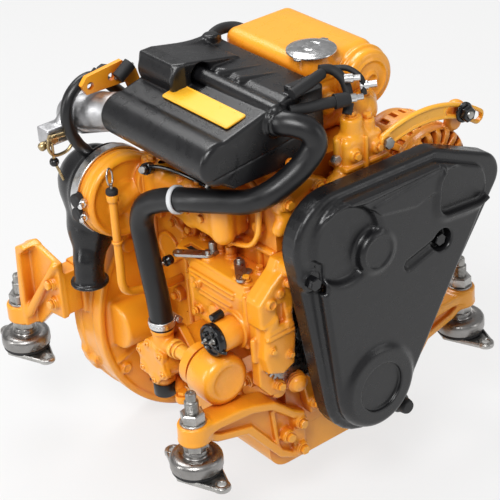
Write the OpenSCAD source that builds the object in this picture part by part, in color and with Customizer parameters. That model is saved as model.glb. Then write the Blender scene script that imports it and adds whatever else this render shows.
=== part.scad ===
// Two-cylinder marine diesel engine, no gearbox.
// Millimetres. X points to the alternator side, Y to the flywheel, Z up.
// Origin: crankshaft axis on the rear face of the flywheel housing.

/* [Block] */
// Height of the crankshaft axis above the surface the mounts stand on
crank_height = 55; // [50:1:70]
// Cylinder bore
bore = 76; // [70:0.5:78]
// Piston stroke
stroke = 70; // [60:1:71]
// Distance between the two cylinder axes
cylinder_pitch = 90; // [88:1:94]
// Width of the cylinder block
block_w = 150; // [144:2:152]
// Length of the cylinder block
block_l = 237; // [234:1:245]
// Height of the deck above the crankshaft axis
deck_h = 172; // [170:1:180]
// Height of the cylinder head
head_h = 54; // [48:1:60]
// Height of the rocker cover
rocker_h = 34; // [30:1:40]
// Depth of the sump below the crankshaft axis
sump_depth = 108; // [100:1:120]
// Width of the sump
sump_w = 204; // [190:2:206]

/* [Flywheel end] */
// Outer radius of the flywheel housing
housing_r = 165; // [160:1:172]
// Depth of the flywheel housing
housing_d = 53; // [48:1:60]
// Wall of the flywheel housing
housing_wall = 10; // [8:0.5:12]
// Radius of the circle of gearbox bolts
gearbox_bolt_r = 158; // [156:1:159]

/* [Crankshaft] */
// Diameter of the main journals
journal_d = 44; // [40:1:46]
// Diameter of the crankpins
crankpin_d = 38; // [34:1:40]
// Radius of the crank webs
web_r = 56; // [52:1:57]
// Diameter of the crankshaft nose
nose_d = 30; // [26:1:32]
// Module of the timing gears
gear_module = 2.5; // [2.4:0.05:2.5]

/* [Mounts] */
// Distance between the left and right mount studs
mount_w = 405; // [395:1:420]
// Distance between the front and rear mount studs
mount_l = 346; // [336:1:356]
// Diameter of the mount's steel dome
dome_d = 60; // [56:1:64]
// Diameter of the mount studs
stud_d = 16; // [14:1:16]
// Height of the stud tip above the surface the mounts stand on
stud_top = 105; // [100:1:112]
// Distance between the two bolt holes of a mount base
base_hole_gap = 88; // [84:1:96]
// Diameter of the bolt holes in a mount base
base_hole_d = 10; // [8:0.5:11]

/* [Belt drive] */
// Belt radius on the crankshaft pulley
crank_belt_r = 50; // [46:1:51]
// Belt radius on the coolant pump pulley
pump_belt_r = 32; // [28:1:33]
// Belt radius on the alternator pulley
alternator_belt_r = 27; // [24:1:28]
// Width of the drive belt
belt_w = 10; // [8:0.5:12]
// Wall of the belt cover
cover_wall = 3; // [2:0.5:3.5]

/* [Top] */
// Height of the air silencer
silencer_h = 82; // [76:1:86]
// Length of the air silencer
silencer_l = 185; // [170:1:190]
// Width of the header tank
tank_w = 98; // [90:1:104]
// Length of the header tank
tank_l = 149; // [135:1:152]
// Height of the header tank
tank_h = 90; // [80:1:92]
// Diameter of the pressure filler cap
filler_cap_d = 56; // [50:1:58]

/* [Left side] */
// Diameter of the exhaust drum
drum_d = 114; // [106:1:116]
// Diameter of the exhaust outlet
exhaust_outlet_d = 42; // [38:1:44]
// Outer diameter of the raw water hose
hose_d = 27; // [24:0.5:28]
// Diameter of the oil filter
filter_d = 61; // [56:1:64]
// Diameter of the stop solenoid
solenoid_d = 38; // [34:1:40]

/* [Right side] */
// Diameter of the alternator
alternator_d = 108; // [100:1:110]
// Length of the alternator
alternator_l = 86; // [76:1:92]
// Diameter of the starter motor
starter_d = 72; // [66:1:74]
// Length of the starter motor
starter_l = 140; // [120:1:150]

/* [Hidden] */
$fn = 48;

// Colours
enamel = [0.96, 0.62, 0.13];
black_plastic = [0.12, 0.12, 0.13];
rubber = [0.07, 0.07, 0.08];
steel = [0.62, 0.62, 0.62];
cast_metal = [0.45, 0.44, 0.43];

// General clearances
overrun = 1;
running_fit = 0.04;
air_gap = 0.3;
seal_gap = 0.5;
// Facets of a six-sided head or nut
hex = 6;
// Points along each rounded corner of an outline
corner_steps = 8;
// Points along each wrap of the belt
belt_steps = 24;

// Levels and planes
block_x = block_w / 2;
block_rear = -housing_d;
block_front = block_rear - block_l;
head_top = deck_h + head_h;
rocker_top = head_top + rocker_h;
rail_bottom = -68;
rail_top = -60;
rail_x = 98;
ground = -crank_height;

// Cylinders and crank chamber
rear_bore_y = block_rear - 72;
front_bore_y = rear_bore_y - cylinder_pitch;
chamber_r = 62;
chamber_half = 39;
tunnel_bore = journal_d + 2 * running_fit;

// Timing gears
crank_teeth = 24;
cam_teeth = 48;
gear_centres = gear_module * (crank_teeth + cam_teeth) / 2;
cam_x = -57;
cam_z = sqrt(gear_centres * gear_centres - cam_x * cam_x);
cam_d = 24;
gear_w = 13;
gear_rear = block_front - 3;

// Timing case
case_d = 22;
case_wall = 4;
case_front = block_front - case_d;
case_outline = [
    [-124, 22], [-106, 2], [-60, 0], [-50, -46], [38, -46], [38, -60], [54, -60], [56, -46],
    [60, -30], [84, -6], [84, 118], [104, 134], [108, 146], [102, 153], [92, 154], [70, 150], [-56, 150],
    [-70, 174], [-86, 174], [-94, 160], [-124, 138]
];
case_hollow = [
    [-120.5, 30], [-100, 6], [-52, 5], [-42, -38], [42, -38], [42, 60], [16, 134],
    [-108, 134], [-120.5, 120]
];

// Belt drive planes
belt_y = block_front - 44;
pulley_flange = 2.5;
belt_thick = 8;
groove_depth = belt_thick / 2 + air_gap;
crank_centre = [0, 0];
pump_centre = [-30, 200];
alternator_at = [136, 200];

// Belt cover planes
cover_back = block_front - 33;
cover_step = cover_back - 25;
cover_face = cover_step - 16;
cover_bosses = [[-80, 164], [101, 145]];
cover_knob = [47, -55];
cover_boss_r = 8;
cover_corners = [[0, 0, 63], [176, 191, 28], [102, 221, 30], [-40, 197, 57]];
face_corners = [[0, 4, 55], [150, 190, 26], [92, 212, 30], [-30, 197, 48]];

// Mount places
stud_x = mount_w / 2;
front_mount_y = block_front + 2;
rear_mount_y = front_mount_y + mount_l;
mount_places = [
    [-stud_x, front_mount_y], [stud_x, front_mount_y],
    [-stud_x, rear_mount_y], [stud_x, rear_mount_y]
];
base_thick = 4;
dome_top = ground + 26;
dome_wall = 3;
nut_h = 12;
nut_af = 24;
foot_low = ground + 43;
foot_top = ground + 66;
foot_r = 18;
washer_h = 2.5;
washer_r = 15;

// Shared bolts
bolt_d = 8;
head_r = 7.5;
head_thick = 5.5;

// Air silencer
silencer_bottom = rocker_top;
silencer_top = silencer_bottom + silencer_h;
silencer_front = block_front + 9;
silencer_rear = silencer_front + silencer_l;
silencer_right = 8;

// Header tank
tank_left = 14;
tank_right = tank_left + tank_w;
tank_front = block_front + 41;
tank_bottom = rocker_top;
tank_top = tank_bottom + tank_h;
tank_rear = tank_front + tank_l;
exchanger_x = 88;
exchanger_z = tank_top - 36;
exchanger_r = 32;
exchanger_front = tank_front - 19;
filler_x = 34;
filler_y = tank_front + 17;
neck_r = 18;
neck_h = 7;
cap_h = 11;

// Hose route, from the raw water pump to the groove in the silencer
hose_r = hose_d / 2;
hose_route = [
    [-150, -167, 54], [-150, -167, 66], [-151, -165, 95], [-152, -160, 125],
    [-151, -152, 158], [-150, -147, 184], [-148, -156, 206], [-142, -176, 218],
    [-136, -200, 226], [-128, -226, 232], [-116, -252, 236], [-102, -278, 240],
    [-88, -296, 250], [-70, -306, 264], [-56, -312, 284], [-52, -316, 304],
    [-56, -317, 322], [-66, -314, 336], [-77, -304, 342], [-82, -288, 343],
    [-82, -270, 343], [-82, -230, 343], [-82, -192, 343], [-82, -166, 343]
];
hose_sides = 12;

// Functions

// Points of a rounded convex outline from corner circles [x, y, radius], counterclockwise
function tangent_angle(a, b) =
    atan2(b[1] - a[1], b[0] - a[0]) - acos((a[2] - b[2]) / norm([b[0] - a[0], b[1] - a[1]]));
function arc_span(from, to) = to >= from ? to - from : to - from + 360;
function rounded_points(corners, steps) = [
    for (i = [0 : len(corners) - 1])
        let (before = corners[(i + len(corners) - 1) % len(corners)],
             here = corners[i],
             after = corners[(i + 1) % len(corners)],
             from = tangent_angle(before, here),
             span = arc_span(from, tangent_angle(here, after)))
            for (k = [0 : steps])
                let (angle = from + span * k / steps)
                    [here[0] + here[2] * cos(angle), here[1] + here[2] * sin(angle)]
];

// Corner circles of a rectangle from two opposite corners and a radius
function box_corners(low, high, r) = [
    [low[0] + r, low[1] + r, r], [high[0] - r, low[1] + r, r],
    [high[0] - r, high[1] - r, r], [low[0] + r, high[1] - r, r]
];

// Outline of a gear with straight-sided teeth
tooth_root_share = 0.31;
tooth_tip_share = 0.16;
addendum_share = 0.8;
dedendum_share = 1.15;
function gear_points(teeth, pitch_r, depth, phase) = [
    for (i = [0 : teeth - 1])
        let (middle = phase + 360 * i / teeth, pitch_angle = 360 / teeth)
            for (corner = [
                [-tooth_root_share, -dedendum_share], [-tooth_tip_share, addendum_share],
                [tooth_tip_share, addendum_share], [tooth_root_share, -dedendum_share]
            ])
                let (angle = middle + corner[0] * pitch_angle, r = pitch_r + corner[1] * depth)
                    [r * cos(angle), r * sin(angle)]
];

// Rings of a tube swept along a route
function unit(v) = v / norm(v);
function direction(route, i) =
    i == 0 ? unit(route[1] - route[0])
    : i == len(route) - 1 ? unit(route[i] - route[i - 1])
    : unit(unit(route[i + 1] - route[i]) + unit(route[i] - route[i - 1]));
function carried(v, along) = unit(v - along * (v * along));
function side_vectors(route, i, last) =
    i == len(route) ? []
    : let (here = carried(last, direction(route, i)))
        concat([here], side_vectors(route, i + 1, here));
function ring(centre, along, side, r, sides) = [
    for (k = [0 : sides - 1])
        let (angle = 360 * k / sides)
            centre + r * (side * cos(angle) + cross(along, side) * sin(angle))
];

// Solids

// Closed tube along a route, with one radius for each point of the route
module swept_tube(route, radii, sides, start_side) {
    sides_at = side_vectors(route, 0, start_side);
    points = [
        for (i = [0 : len(route) - 1])
            each ring(route[i], direction(route, i), sides_at[i], radii[i], sides)
    ];
    walls = [
        for (i = [0 : len(route) - 2], k = [0 : sides - 1])
            let (a = i * sides + k, b = i * sides + (k + 1) % sides)
                each [[a, a + sides, b], [b, a + sides, b + sides]]
    ];
    last = (len(route) - 1) * sides;
    polyhedron(points, concat(
        walls,
        [[for (k = [0 : sides - 1]) k]],
        [[for (k = [0 : sides - 1]) last + sides - 1 - k]]
    ));
}

module box(low, high) {
    translate(low) cube(high - low);
}

module rod_x(start, length, d) {
    translate(start) rotate([0, 90, 0]) cylinder(h = length, d = d);
}

module rod_y(start, length, d) {
    translate(start) rotate([-90, 0, 0]) cylinder(h = length, d = d);
}

module rod_z(start, length, d) {
    translate(start) cylinder(h = length, d = d);
}

// Plate with an outline in X and Z, from one Y plane to another
module plate_y(outline, y_from, y_to) {
    translate([0, y_to, 0]) rotate([90, 0, 0]) linear_extrude(y_to - y_from) polygon(outline);
}

// Plate with an outline in Y and Z, from one X plane to another
module plate_x(outline, x_from, x_to) {
    translate([x_from, 0, 0]) rotate([90, 0, 90]) linear_extrude(x_to - x_from)
        polygon(outline);
}

// Plate with an outline in X and Y, from one Z level to another
module plate_z(outline, z_from, z_to) {
    translate([0, 0, z_from]) linear_extrude(z_to - z_from) polygon(outline);
}

module hex_bolt_y(place, thick, r, shank, shank_d) {
    translate(place) rotate([90, 0, 0]) cylinder(h = thick, r = r, $fn = hex);
    rod_y(place, shank, shank_d);
}

// Points of an arc in an outline
function arc_points(centre, r, from, to, steps) = [
    for (k = [0 : steps])
        let (angle = from + (to - from) * k / steps)
            [centre[0] + r * cos(angle), centre[1] + r * sin(angle)]
];

// Mirrors the left piece to the right
module side(right) {
    mirror([right ? 1 : 0, 0, 0]) children();
}

// Ring round the Y axis
module ring_y(place, length, outer_d, inner_d) {
    difference() {
        rod_y(place, length, outer_d);
        rod_y(place - [0, overrun, 0], length + 2 * overrun, inner_d);
    }
}

module ring_z(place, length, outer_d, inner_d) {
    difference() {
        rod_z(place, length, outer_d);
        rod_z(place - [0, 0, overrun], length + 2 * overrun, inner_d);
    }
}

// Crankcase, with the oil filter head on its left
bore_places = [front_bore_y, rear_bore_y];
filter_x = -150;
filter_z = 37;
filter_front = block_front + air_gap;
filter_rear = block_front + 45;
filter_head_front = block_front + 47;
filter_head_d = 52;
filter_head_w = 12;
filter_arm_h = 30;
side_rib_w = 5;
side_rib_out = 4;
side_rib_ys = [block_front + 28, block_front + 85, block_rear - 67];
side_rib_bottom = -50;
side_rib_top = 20;

module crankcase() {
    color(enamel) difference() {
        union() {
            box([-block_x, block_front, rail_top], [block_x, block_rear, deck_h]);
            box([-rail_x, block_front, rail_bottom], [rail_x, block_rear, rail_top]);
            rod_y([filter_x, filter_head_front, filter_z], filter_head_w, filter_head_d);
            box(
                [filter_x, filter_head_front, filter_z - filter_arm_h / 2],
                [-block_x, filter_head_front + filter_head_w, filter_z + filter_arm_h / 2]
            );
            for (y = side_rib_ys)
                box(
                    [-block_x - side_rib_out, y, side_rib_bottom],
                    [block_x + side_rib_out, y + side_rib_w, side_rib_top]
                );
        }
        for (y = bore_places) {
            rod_z([0, y, 0], deck_h + overrun, bore);
            rod_y([0, y - chamber_half, 0], 2 * chamber_half, 2 * chamber_r);
            box(
                [-chamber_r, y - chamber_half, rail_bottom - overrun],
                [chamber_r, y + chamber_half, 0]
            );
        }
        rod_y([0, block_front - overrun, 0], block_l + 2 * overrun, tunnel_bore);
        rod_y([cam_x, block_front - overrun, cam_z], block_l + 2 * overrun, cam_d);
    }
}

// Cylinder head
head_rear = -64;
injector_x = -69;
injector_d = 9;
injector_depth = 20;
port_d = 30;
port_depth = 30;
port_z = deck_h + head_h / 2;

module cylinder_head() {
    color(enamel) difference() {
        box([-block_x, block_front, deck_h], [block_x, head_rear, head_top]);
        for (y = bore_places) {
            rod_z([injector_x, y, head_top - injector_depth], injector_depth + overrun, injector_d);
            rod_x([-block_x - overrun, y, port_z], port_depth, port_d);
            rod_x([block_x + overrun - port_depth, y, port_z], port_depth, port_d);
        }
    }
}

// Rocker cover
rocker_x = 62;
rocker_front = block_front + 6;
rocker_rear = -66;
rocker_corner = 14;
rocker_wall = 3;
filler_hole_d = 20;
oil_cap_place = [30, -84, rocker_top];

module rocker_cover() {
    color(enamel) difference() {
        plate_z(
            rounded_points(
                box_corners([-rocker_x, rocker_front], [rocker_x, rocker_rear], rocker_corner),
                corner_steps
            ),
            head_top, rocker_top
        );
        plate_z(
            rounded_points(
                box_corners(
                    [-rocker_x + rocker_wall, rocker_front + rocker_wall],
                    [rocker_x - rocker_wall, rocker_rear - rocker_wall],
                    rocker_corner - rocker_wall
                ),
                corner_steps
            ),
            head_top - overrun, rocker_top - rocker_wall
        );
        rod_z(oil_cap_place - [0, 0, rocker_wall + overrun], rocker_wall + 2 * overrun, filler_hole_d);
    }
}

// Oil filler cap
oil_cap_d = 26;
oil_cap_rim_h = 6;
oil_cap_grip_h = 8;
oil_cap_grip_w = 7;

module oil_filler_cap() {
    color(black_plastic) union() {
        rod_z(oil_cap_place, oil_cap_rim_h, oil_cap_d);
        rod_z(
            oil_cap_place - [0, 0, rocker_wall], rocker_wall, filler_hole_d - 2 * running_fit
        );
        translate(oil_cap_place + [0, 0, oil_cap_rim_h + oil_cap_grip_h / 2])
            cube([oil_cap_d - oil_cap_grip_w, oil_cap_grip_w, oil_cap_grip_h], center = true);
    }
}

// Sump
sump_wall = 4;
sump_corner = 25;
drain_place = [60, -80, -sump_depth];
drain_d = 20;
drain_h = 6;

function sump_outline(half, bottom, r, top) = concat(
    arc_points([-half + r, bottom + r], r, 180, 270, corner_steps),
    arc_points([half - r, bottom + r], r, 270, 360, corner_steps),
    [[half, top], [-half, top]]
);

module sump() {
    color(enamel) difference() {
        union() {
            plate_y(
                sump_outline(sump_w / 2, -sump_depth, sump_corner, rail_bottom),
                block_front, block_rear
            );
            translate(drain_place - [0, 0, drain_h]) cylinder(h = drain_h, d = drain_d, $fn = hex);
        }
        plate_y(
            sump_outline(
                sump_w / 2 - sump_wall, -sump_depth + sump_wall,
                sump_corner - sump_wall, rail_bottom + overrun
            ),
            block_front + sump_wall, block_rear - sump_wall
        );
    }
}

// Timing case
post_front = cover_step + cover_wall;
post_places = [cover_bosses[0], cover_bosses[1], cover_knob];

module timing_case() {
    color(enamel) difference() {
        union() {
            plate_y(case_outline, case_front, block_front);
            for (p = post_places)
                rod_y([p[0], post_front, p[1]], block_front - post_front, 2 * cover_boss_r);
        }
        plate_y(case_hollow, case_front + case_wall, block_front + overrun);
        rod_y([0, case_front - overrun, 0], case_d + 2 * overrun, nose_d + 2 * seal_gap);
        for (p = post_places)
            rod_y([p[0], post_front - overrun, p[1]], case_d, bolt_d);
    }
}

// Fuel pump and governor housing
governor_left = -122;
governor_rear = block_front + 104;
governor_bottom = 66;
governor_top = 140;
governor_chamfer = 10;
delivery_places = [[-86, block_front + 68], [-86, block_front + 86]];
delivery_d = 11;
delivery_h = 8;
speed_pivot = [-92, block_front + 46];
stop_pivot = [-106, block_front + 84];
lever_boss_d = 14;
lever_boss_h = 6;
ridge_d = 9;
ridge_levels = [106, 116];
ridge_l = 60;

module governor_housing() {
    color(enamel) difference() {
        union() {
            plate_y(
                [
                    [-block_x, governor_bottom], [-block_x, governor_top],
                    [governor_left + governor_chamfer, governor_top],
                    [governor_left, governor_top - governor_chamfer],
                    [governor_left, governor_bottom + governor_chamfer],
                    [governor_left + governor_chamfer, governor_bottom]
                ],
                block_front, governor_rear
            );
            for (p = delivery_places)
                rod_z([p[0], p[1], governor_top], delivery_h, delivery_d);
            for (p = [speed_pivot, stop_pivot])
                rod_z([p[0], p[1], governor_top], lever_boss_h, lever_boss_d);
            for (z = ridge_levels)
                rod_y([governor_left, governor_rear - ridge_l, z], ridge_l, ridge_d);
        }
        for (p = [speed_pivot, stop_pivot])
            rod_z(
                [p[0], p[1], governor_top - lever_boss_h], 2 * lever_boss_h + overrun,
                lever_shaft_d + 2 * running_fit
            );
    }
}

// Control levers on the governor
lever_shaft_d = 6;
lever_thick = 3;
lever_w = 12;
speed_lever_l = 36;
stop_lever_l = 34;
lever_eye_d = 4;
speed_heading = 235;
stop_heading = 130;

module control_lever(pivot, length, heading) {
    level = governor_top + lever_boss_h + air_gap;
    translate([pivot[0], pivot[1], 0]) rotate([0, 0, heading]) difference() {
        union() {
            rod_z([0, 0, level], lever_thick, lever_w);
            rod_z([length, 0, level], lever_thick, lever_w);
            box([0, -lever_w / 2, level], [length, lever_w / 2, level + lever_thick]);
            rod_z(
                [0, 0, governor_top - lever_boss_h + overrun],
                2 * lever_boss_h + 2 * lever_thick, lever_shaft_d
            );
        }
        rod_z([length, 0, level - overrun], lever_thick + 2 * overrun, lever_eye_d);
    }
}

module speed_lever() {
    color(steel) control_lever(speed_pivot, speed_lever_l, speed_heading);
}

module stop_lever() {
    color(steel) control_lever(stop_pivot, stop_lever_l, stop_heading);
}

// Fuel injection lines
line_r = 3;
line_sides = 8;
front_line_route = [
    [-86, -222, 148], [-86, -222, 158], [-86, -236, 167], [-85, -256, 171], [-83, -266, 184],
    [-81, -268, 210], [-78, -264, 232], [-72, -250, 240], [-69, -232, 240], [-69, -218, 237],
    [-69, -215, 228], [-69, -215, 214]
];
rear_line_route = [
    [-86, -204, 148], [-86, -204, 157], [-91, -216, 167], [-93, -246, 172], [-93, -268, 180],
    [-91, -279, 196], [-88, -280, 216], [-83, -276, 236], [-79, -262, 246], [-78, -230, 247],
    [-78, -180, 247], [-76, -144, 246], [-70, -129, 240], [-69, -125, 228], [-69, -125, 214]
];

module injection_lines() {
    color(steel) {
        swept_tube(front_line_route, [for (p = front_line_route) line_r], line_sides, [1, 0, 0]);
        swept_tube(rear_line_route, [for (p = rear_line_route) line_r], line_sides, [1, 0, 0]);
    }
}

// Flywheel housing
cavity_d = 2 * housing_r - 30;
wall_rear = block_rear + housing_wall;
crank_hole_d = 74;
pad_x = housing_r + 3;
pad_front = -34;
pad_bottom = 20;
pad_top = 82;
starter_x = 134;
starter_z = -42;
pinion_hole_d = 40;
pinion_hole_l = 17;
bulge_d = 88;
left_boss_place = [-147, -62, 5];
left_boss_l = 52;
left_boss_d = 60;
gearbox_bolts = 8;
gearbox_hole_d = 9;
gearbox_hole_l = 15;
lobe_d = 22;
lobe_l = 22;

function gearbox_angle(i) = 360 * (i + 1 / 2) / gearbox_bolts;

module flywheel_housing() {
    color(enamel) difference() {
        union() {
            rod_y([0, block_rear, 0], housing_d, 2 * housing_r);
            box([-pad_x, pad_front, pad_bottom], [pad_x, 0, pad_top]);
            rod_y([starter_x, block_rear, starter_z], housing_d, bulge_d);
            rod_x(left_boss_place, left_boss_l, left_boss_d);
            for (i = [0 : gearbox_bolts - 1])
                rotate([0, gearbox_angle(i), 0])
                    rod_y([gearbox_bolt_r, -lobe_l, 0], lobe_l, lobe_d);
        }
        rod_y([0, wall_rear, 0], housing_d, cavity_d);
        rod_y([0, block_rear - overrun, 0], housing_d, crank_hole_d);
        rod_y([starter_x, block_rear - overrun, starter_z], pinion_hole_l + overrun, pinion_hole_d);
        for (i = [0 : gearbox_bolts - 1])
            rotate([0, gearbox_angle(i), 0])
                rod_y([gearbox_bolt_r, -gearbox_hole_l, 0], gearbox_hole_l + overrun, gearbox_hole_d);
    }
}

// Crankshaft, with the front crankpin down and the rear one up
web_inner = 14;
web_outer = 28;
flange_d = 68;
flange_rear = -38;
nose_end = belt_y - belt_w / 2 - seal_gap - pulley_flange;
nose_bolt_r = 13;
nose_bolt_h = 10;

module crank_throw(y, turn) {
    throw_r = stroke / 2;
    for (web = [[y - web_outer, y - web_inner], [y + web_inner, y + web_outer]])
        rod_y([0, web[0], 0], web[1] - web[0], 2 * web_r);
    rod_y([0, y - web_inner, turn * throw_r], 2 * web_inner, crankpin_d);
}

module crankshaft() {
    front_web = front_bore_y - web_outer;
    middle_start = front_bore_y + web_outer;
    middle_end = rear_bore_y - web_outer;
    rear_web = rear_bore_y + web_outer;
    color(cast_metal) union() {
        rod_y([0, nose_end, 0], block_front - nose_end, nose_d);
        rod_y([0, block_front, 0], front_web - block_front, journal_d);
        crank_throw(front_bore_y, -1);
        rod_y([0, middle_start, 0], middle_end - middle_start, journal_d);
        crank_throw(rear_bore_y, 1);
        rod_y([0, rear_web, 0], block_rear + air_gap - rear_web, journal_d);
        rod_y([0, block_rear + air_gap, 0], flange_rear - block_rear - air_gap, flange_d);
        translate([0, nose_end, 0]) rotate([90, 0, 0])
            cylinder(h = nose_bolt_h, r = nose_bolt_r, $fn = hex);
    }
}

// Flywheel with its ring gear
flywheel_d = 240;
flywheel_w = 30;
ring_teeth = 100;
ring_pitch_r = 126;
ring_module = 2.5;
ring_w = 12;
spigot_d = 30;
damper_bolt_r = 95;
damper_bolts = 6;
damper_hole_d = 8;
damper_hole_l = 16;

module flywheel() {
    color(steel) difference() {
        union() {
            rod_y([0, flange_rear, 0], flywheel_w, flywheel_d);
            plate_y(
                gear_points(ring_teeth, ring_pitch_r, ring_module, 0),
                flange_rear, flange_rear + ring_w
            );
        }
        rod_y([0, flange_rear - overrun, 0], flywheel_w + 2 * overrun, spigot_d);
        for (i = [0 : damper_bolts - 1])
            rotate([0, 360 * i / damper_bolts, 0])
                rod_y(
                    [damper_bolt_r, flange_rear + flywheel_w - damper_hole_l, 0],
                    damper_hole_l + overrun, damper_hole_d
                );
    }
}

// Timing gears
centres_angle = atan2(cam_z, cam_x);

module crank_gear() {
    color(steel) difference() {
        plate_y(
            gear_points(crank_teeth, gear_module * crank_teeth / 2, gear_module, centres_angle),
            gear_rear - gear_w, gear_rear
        );
        rod_y([0, gear_rear - gear_w - overrun, 0], gear_w + 2 * overrun, nose_d + 2 * running_fit);
    }
}

cam_nose_d = 20;

module cam_gear() {
    color(steel) difference() {
        translate([cam_x, 0, cam_z]) plate_y(
            gear_points(
                cam_teeth, gear_module * cam_teeth / 2, gear_module,
                centres_angle + 180 + 180 / cam_teeth
            ),
            gear_rear - gear_w, gear_rear
        );
        rod_y(
            [cam_x, gear_rear - gear_w - overrun, cam_z], gear_w + 2 * overrun,
            cam_nose_d + 2 * running_fit
        );
    }
}

// Camshaft
cam_rear = -60;
cam_journal_d = cam_d - 2 * running_fit;

module camshaft() {
    color(cast_metal) union() {
        rod_y([cam_x, gear_rear - gear_w, cam_z], block_front - gear_rear + gear_w, cam_nose_d);
        rod_y([cam_x, block_front, cam_z], cam_rear - block_front, cam_journal_d);
    }
}

// Pulleys, with a square groove for the belt
pulley_half = belt_w / 2 + seal_gap + pulley_flange;

module pulley(centre, belt_r, bore_d) {
    groove_r = belt_r - groove_depth;
    groove_half = belt_w / 2 + seal_gap;
    rim_r = belt_r + overrun;
    translate([centre[0], belt_y, centre[1]]) rotate([90, 0, 0]) rotate_extrude()
        polygon([
            [bore_d / 2, -pulley_half], [rim_r, -pulley_half], [rim_r, -groove_half],
            [groove_r, -groove_half], [groove_r, groove_half], [rim_r, groove_half],
            [rim_r, pulley_half], [bore_d / 2, pulley_half]
        ]);
}

module crank_pulley() {
    color(black_plastic) pulley(crank_centre, crank_belt_r, nose_d + 2 * running_fit);
}

// Pistons
piston_d = bore - 2 * running_fit;
piston_h = 40;
piston_wall = 6;
crown_gap = 0.7;
ring_groove_w = 2;
ring_groove_depth = 1.5;
ring_groove_steps = [16, 11, 6];
wrist_pin_d = 22;
wrist_pin_z = 20;

module piston(y, crown) {
    outer_r = piston_d / 2;
    inner_r = outer_r - piston_wall;
    groove_r = outer_r - ring_groove_depth;
    grooves = [
        for (step = ring_groove_steps)
            let (low = piston_h - step, high = low + ring_groove_w)
                each [[outer_r, low], [groove_r, low], [groove_r, high], [outer_r, high]]
    ];
    translate([0, y, crown - piston_h]) union() {
        rotate_extrude() polygon(concat(
            [[0, piston_h - piston_wall], [inner_r, piston_h - piston_wall], [inner_r, 0], [outer_r, 0]],
            grooves,
            [[outer_r, piston_h], [0, piston_h]]
        ));
        rod_x([piston_wall / 2 - outer_r, 0, wrist_pin_z], piston_d - piston_wall, wrist_pin_d);
    }
}

module piston_front() {
    color(steel) piston(front_bore_y, deck_h - crown_gap - stroke);
}

module piston_rear() {
    color(steel) piston(rear_bore_y, deck_h - crown_gap);
}

// Front brackets
arm_front = block_front - 10;
arm_outline = [
    [-202, 3], [-133, 3], [-98, -6], [-66, -36], [-57, -64], [-57, -95], [-73, -95],
    [-92, -90], [-136, -35], [-178, -25], [-186, -12], [-202, -12]
];
pocket_outline = [[-132, -10], [-100, -18], [-78, -40], [-78, -66], [-94, -76], [-126, -32]];
pocket_depth = 6;
shelf_rear = block_front + 14;
shelf_thick = 6;
shelf_inner_x = 106;
arm_hole_d = stud_d + 1;

module front_bracket() {
    difference() {
        union() {
            plate_y(arm_outline, arm_front, block_front);
            rod_z([-stud_x, front_mount_y, foot_low], foot_top - foot_low, 2 * foot_r);
            plate_y(
                [
                    [-stud_x, foot_top - 2 * shelf_thick], [-shelf_inner_x, -2 * shelf_thick],
                    [-shelf_inner_x, -shelf_thick], [-stud_x, foot_top - shelf_thick]
                ],
                block_front, shelf_rear
            );
        }
        plate_y(pocket_outline, arm_front - overrun, arm_front + pocket_depth);
        rod_z(
            [-stud_x, front_mount_y, foot_low - overrun], foot_top - foot_low + 2 * overrun,
            arm_hole_d
        );
    }
}

module front_bracket_left() {
    color(enamel) side(false) front_bracket();
}

module front_bracket_right() {
    color(enamel) side(true) front_bracket();
}

// Rear brackets
wing_outer_x = 196;
wing_thick = 9;
wing_outline = [
    [44, -12], [44, 28], [38, 101], [24, 108], [-30, 96], [-30, 20], [0, 20], [30, -12]
];
block_web_y = [-30, -2];
block_web_z = [24, 80];

module rear_bracket() {
    difference() {
        union() {
            plate_x(wing_outline, -wing_outer_x, -wing_outer_x + wing_thick);
            box(
                [-wing_outer_x + wing_thick, block_web_y[0], block_web_z[0]],
                [-pad_x, block_web_y[1], block_web_z[1]]
            );
            rod_z([-stud_x, rear_mount_y, foot_low], foot_top - foot_low, 2 * foot_r);
        }
        rod_z(
            [-stud_x, rear_mount_y, foot_low - overrun], foot_top - foot_low + 2 * overrun,
            arm_hole_d
        );
    }
}

module rear_bracket_left() {
    color(enamel) side(false) rear_bracket();
}

module rear_bracket_right() {
    color(enamel) side(true) rear_bracket();
}

// Flexible mounts
base_r = 28;
ear_r = 10;
rubber_d = dome_d - 2 * dome_wall;
collar_top = ground + 31;
collar_r = 13;
mount_washer_top = foot_top + washer_h;

module mount_bases() {
    color(steel) for (p = mount_places)
        difference() {
            hull() {
                rod_z([p[0], p[1], ground], base_thick, 2 * base_r);
                for (way = [-1, 1])
                    rod_z([p[0], p[1] + way * base_hole_gap / 2, ground], base_thick, 2 * ear_r);
            }
            for (way = [-1, 1])
                rod_z(
                    [p[0], p[1] + way * base_hole_gap / 2, ground - overrun],
                    base_thick + 2 * overrun, base_hole_d
                );
        }
}

module mount_rubbers() {
    color(rubber) for (p = mount_places)
        rod_z([p[0], p[1], ground + base_thick], dome_top - dome_wall - ground - base_thick, rubber_d);
}

dome_bottom = ground + 9;

module mount_domes() {
    color(steel) for (p = mount_places)
        difference() {
            rod_z([p[0], p[1], dome_bottom], dome_top - dome_bottom, dome_d);
            rod_z([p[0], p[1], dome_bottom - overrun], dome_top - dome_wall - dome_bottom + overrun, rubber_d);
            rod_z([p[0], p[1], dome_top - dome_wall - overrun], dome_wall + 2 * overrun, stud_d);
        }
}

module mount_studs() {
    color(steel) for (p = mount_places)
        union() {
            rod_z([p[0], p[1], dome_top - dome_wall], ground + stud_top - dome_top + dome_wall, stud_d);
            rod_z([p[0], p[1], dome_top], collar_top - dome_top, 2 * collar_r);
        }
}

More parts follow.
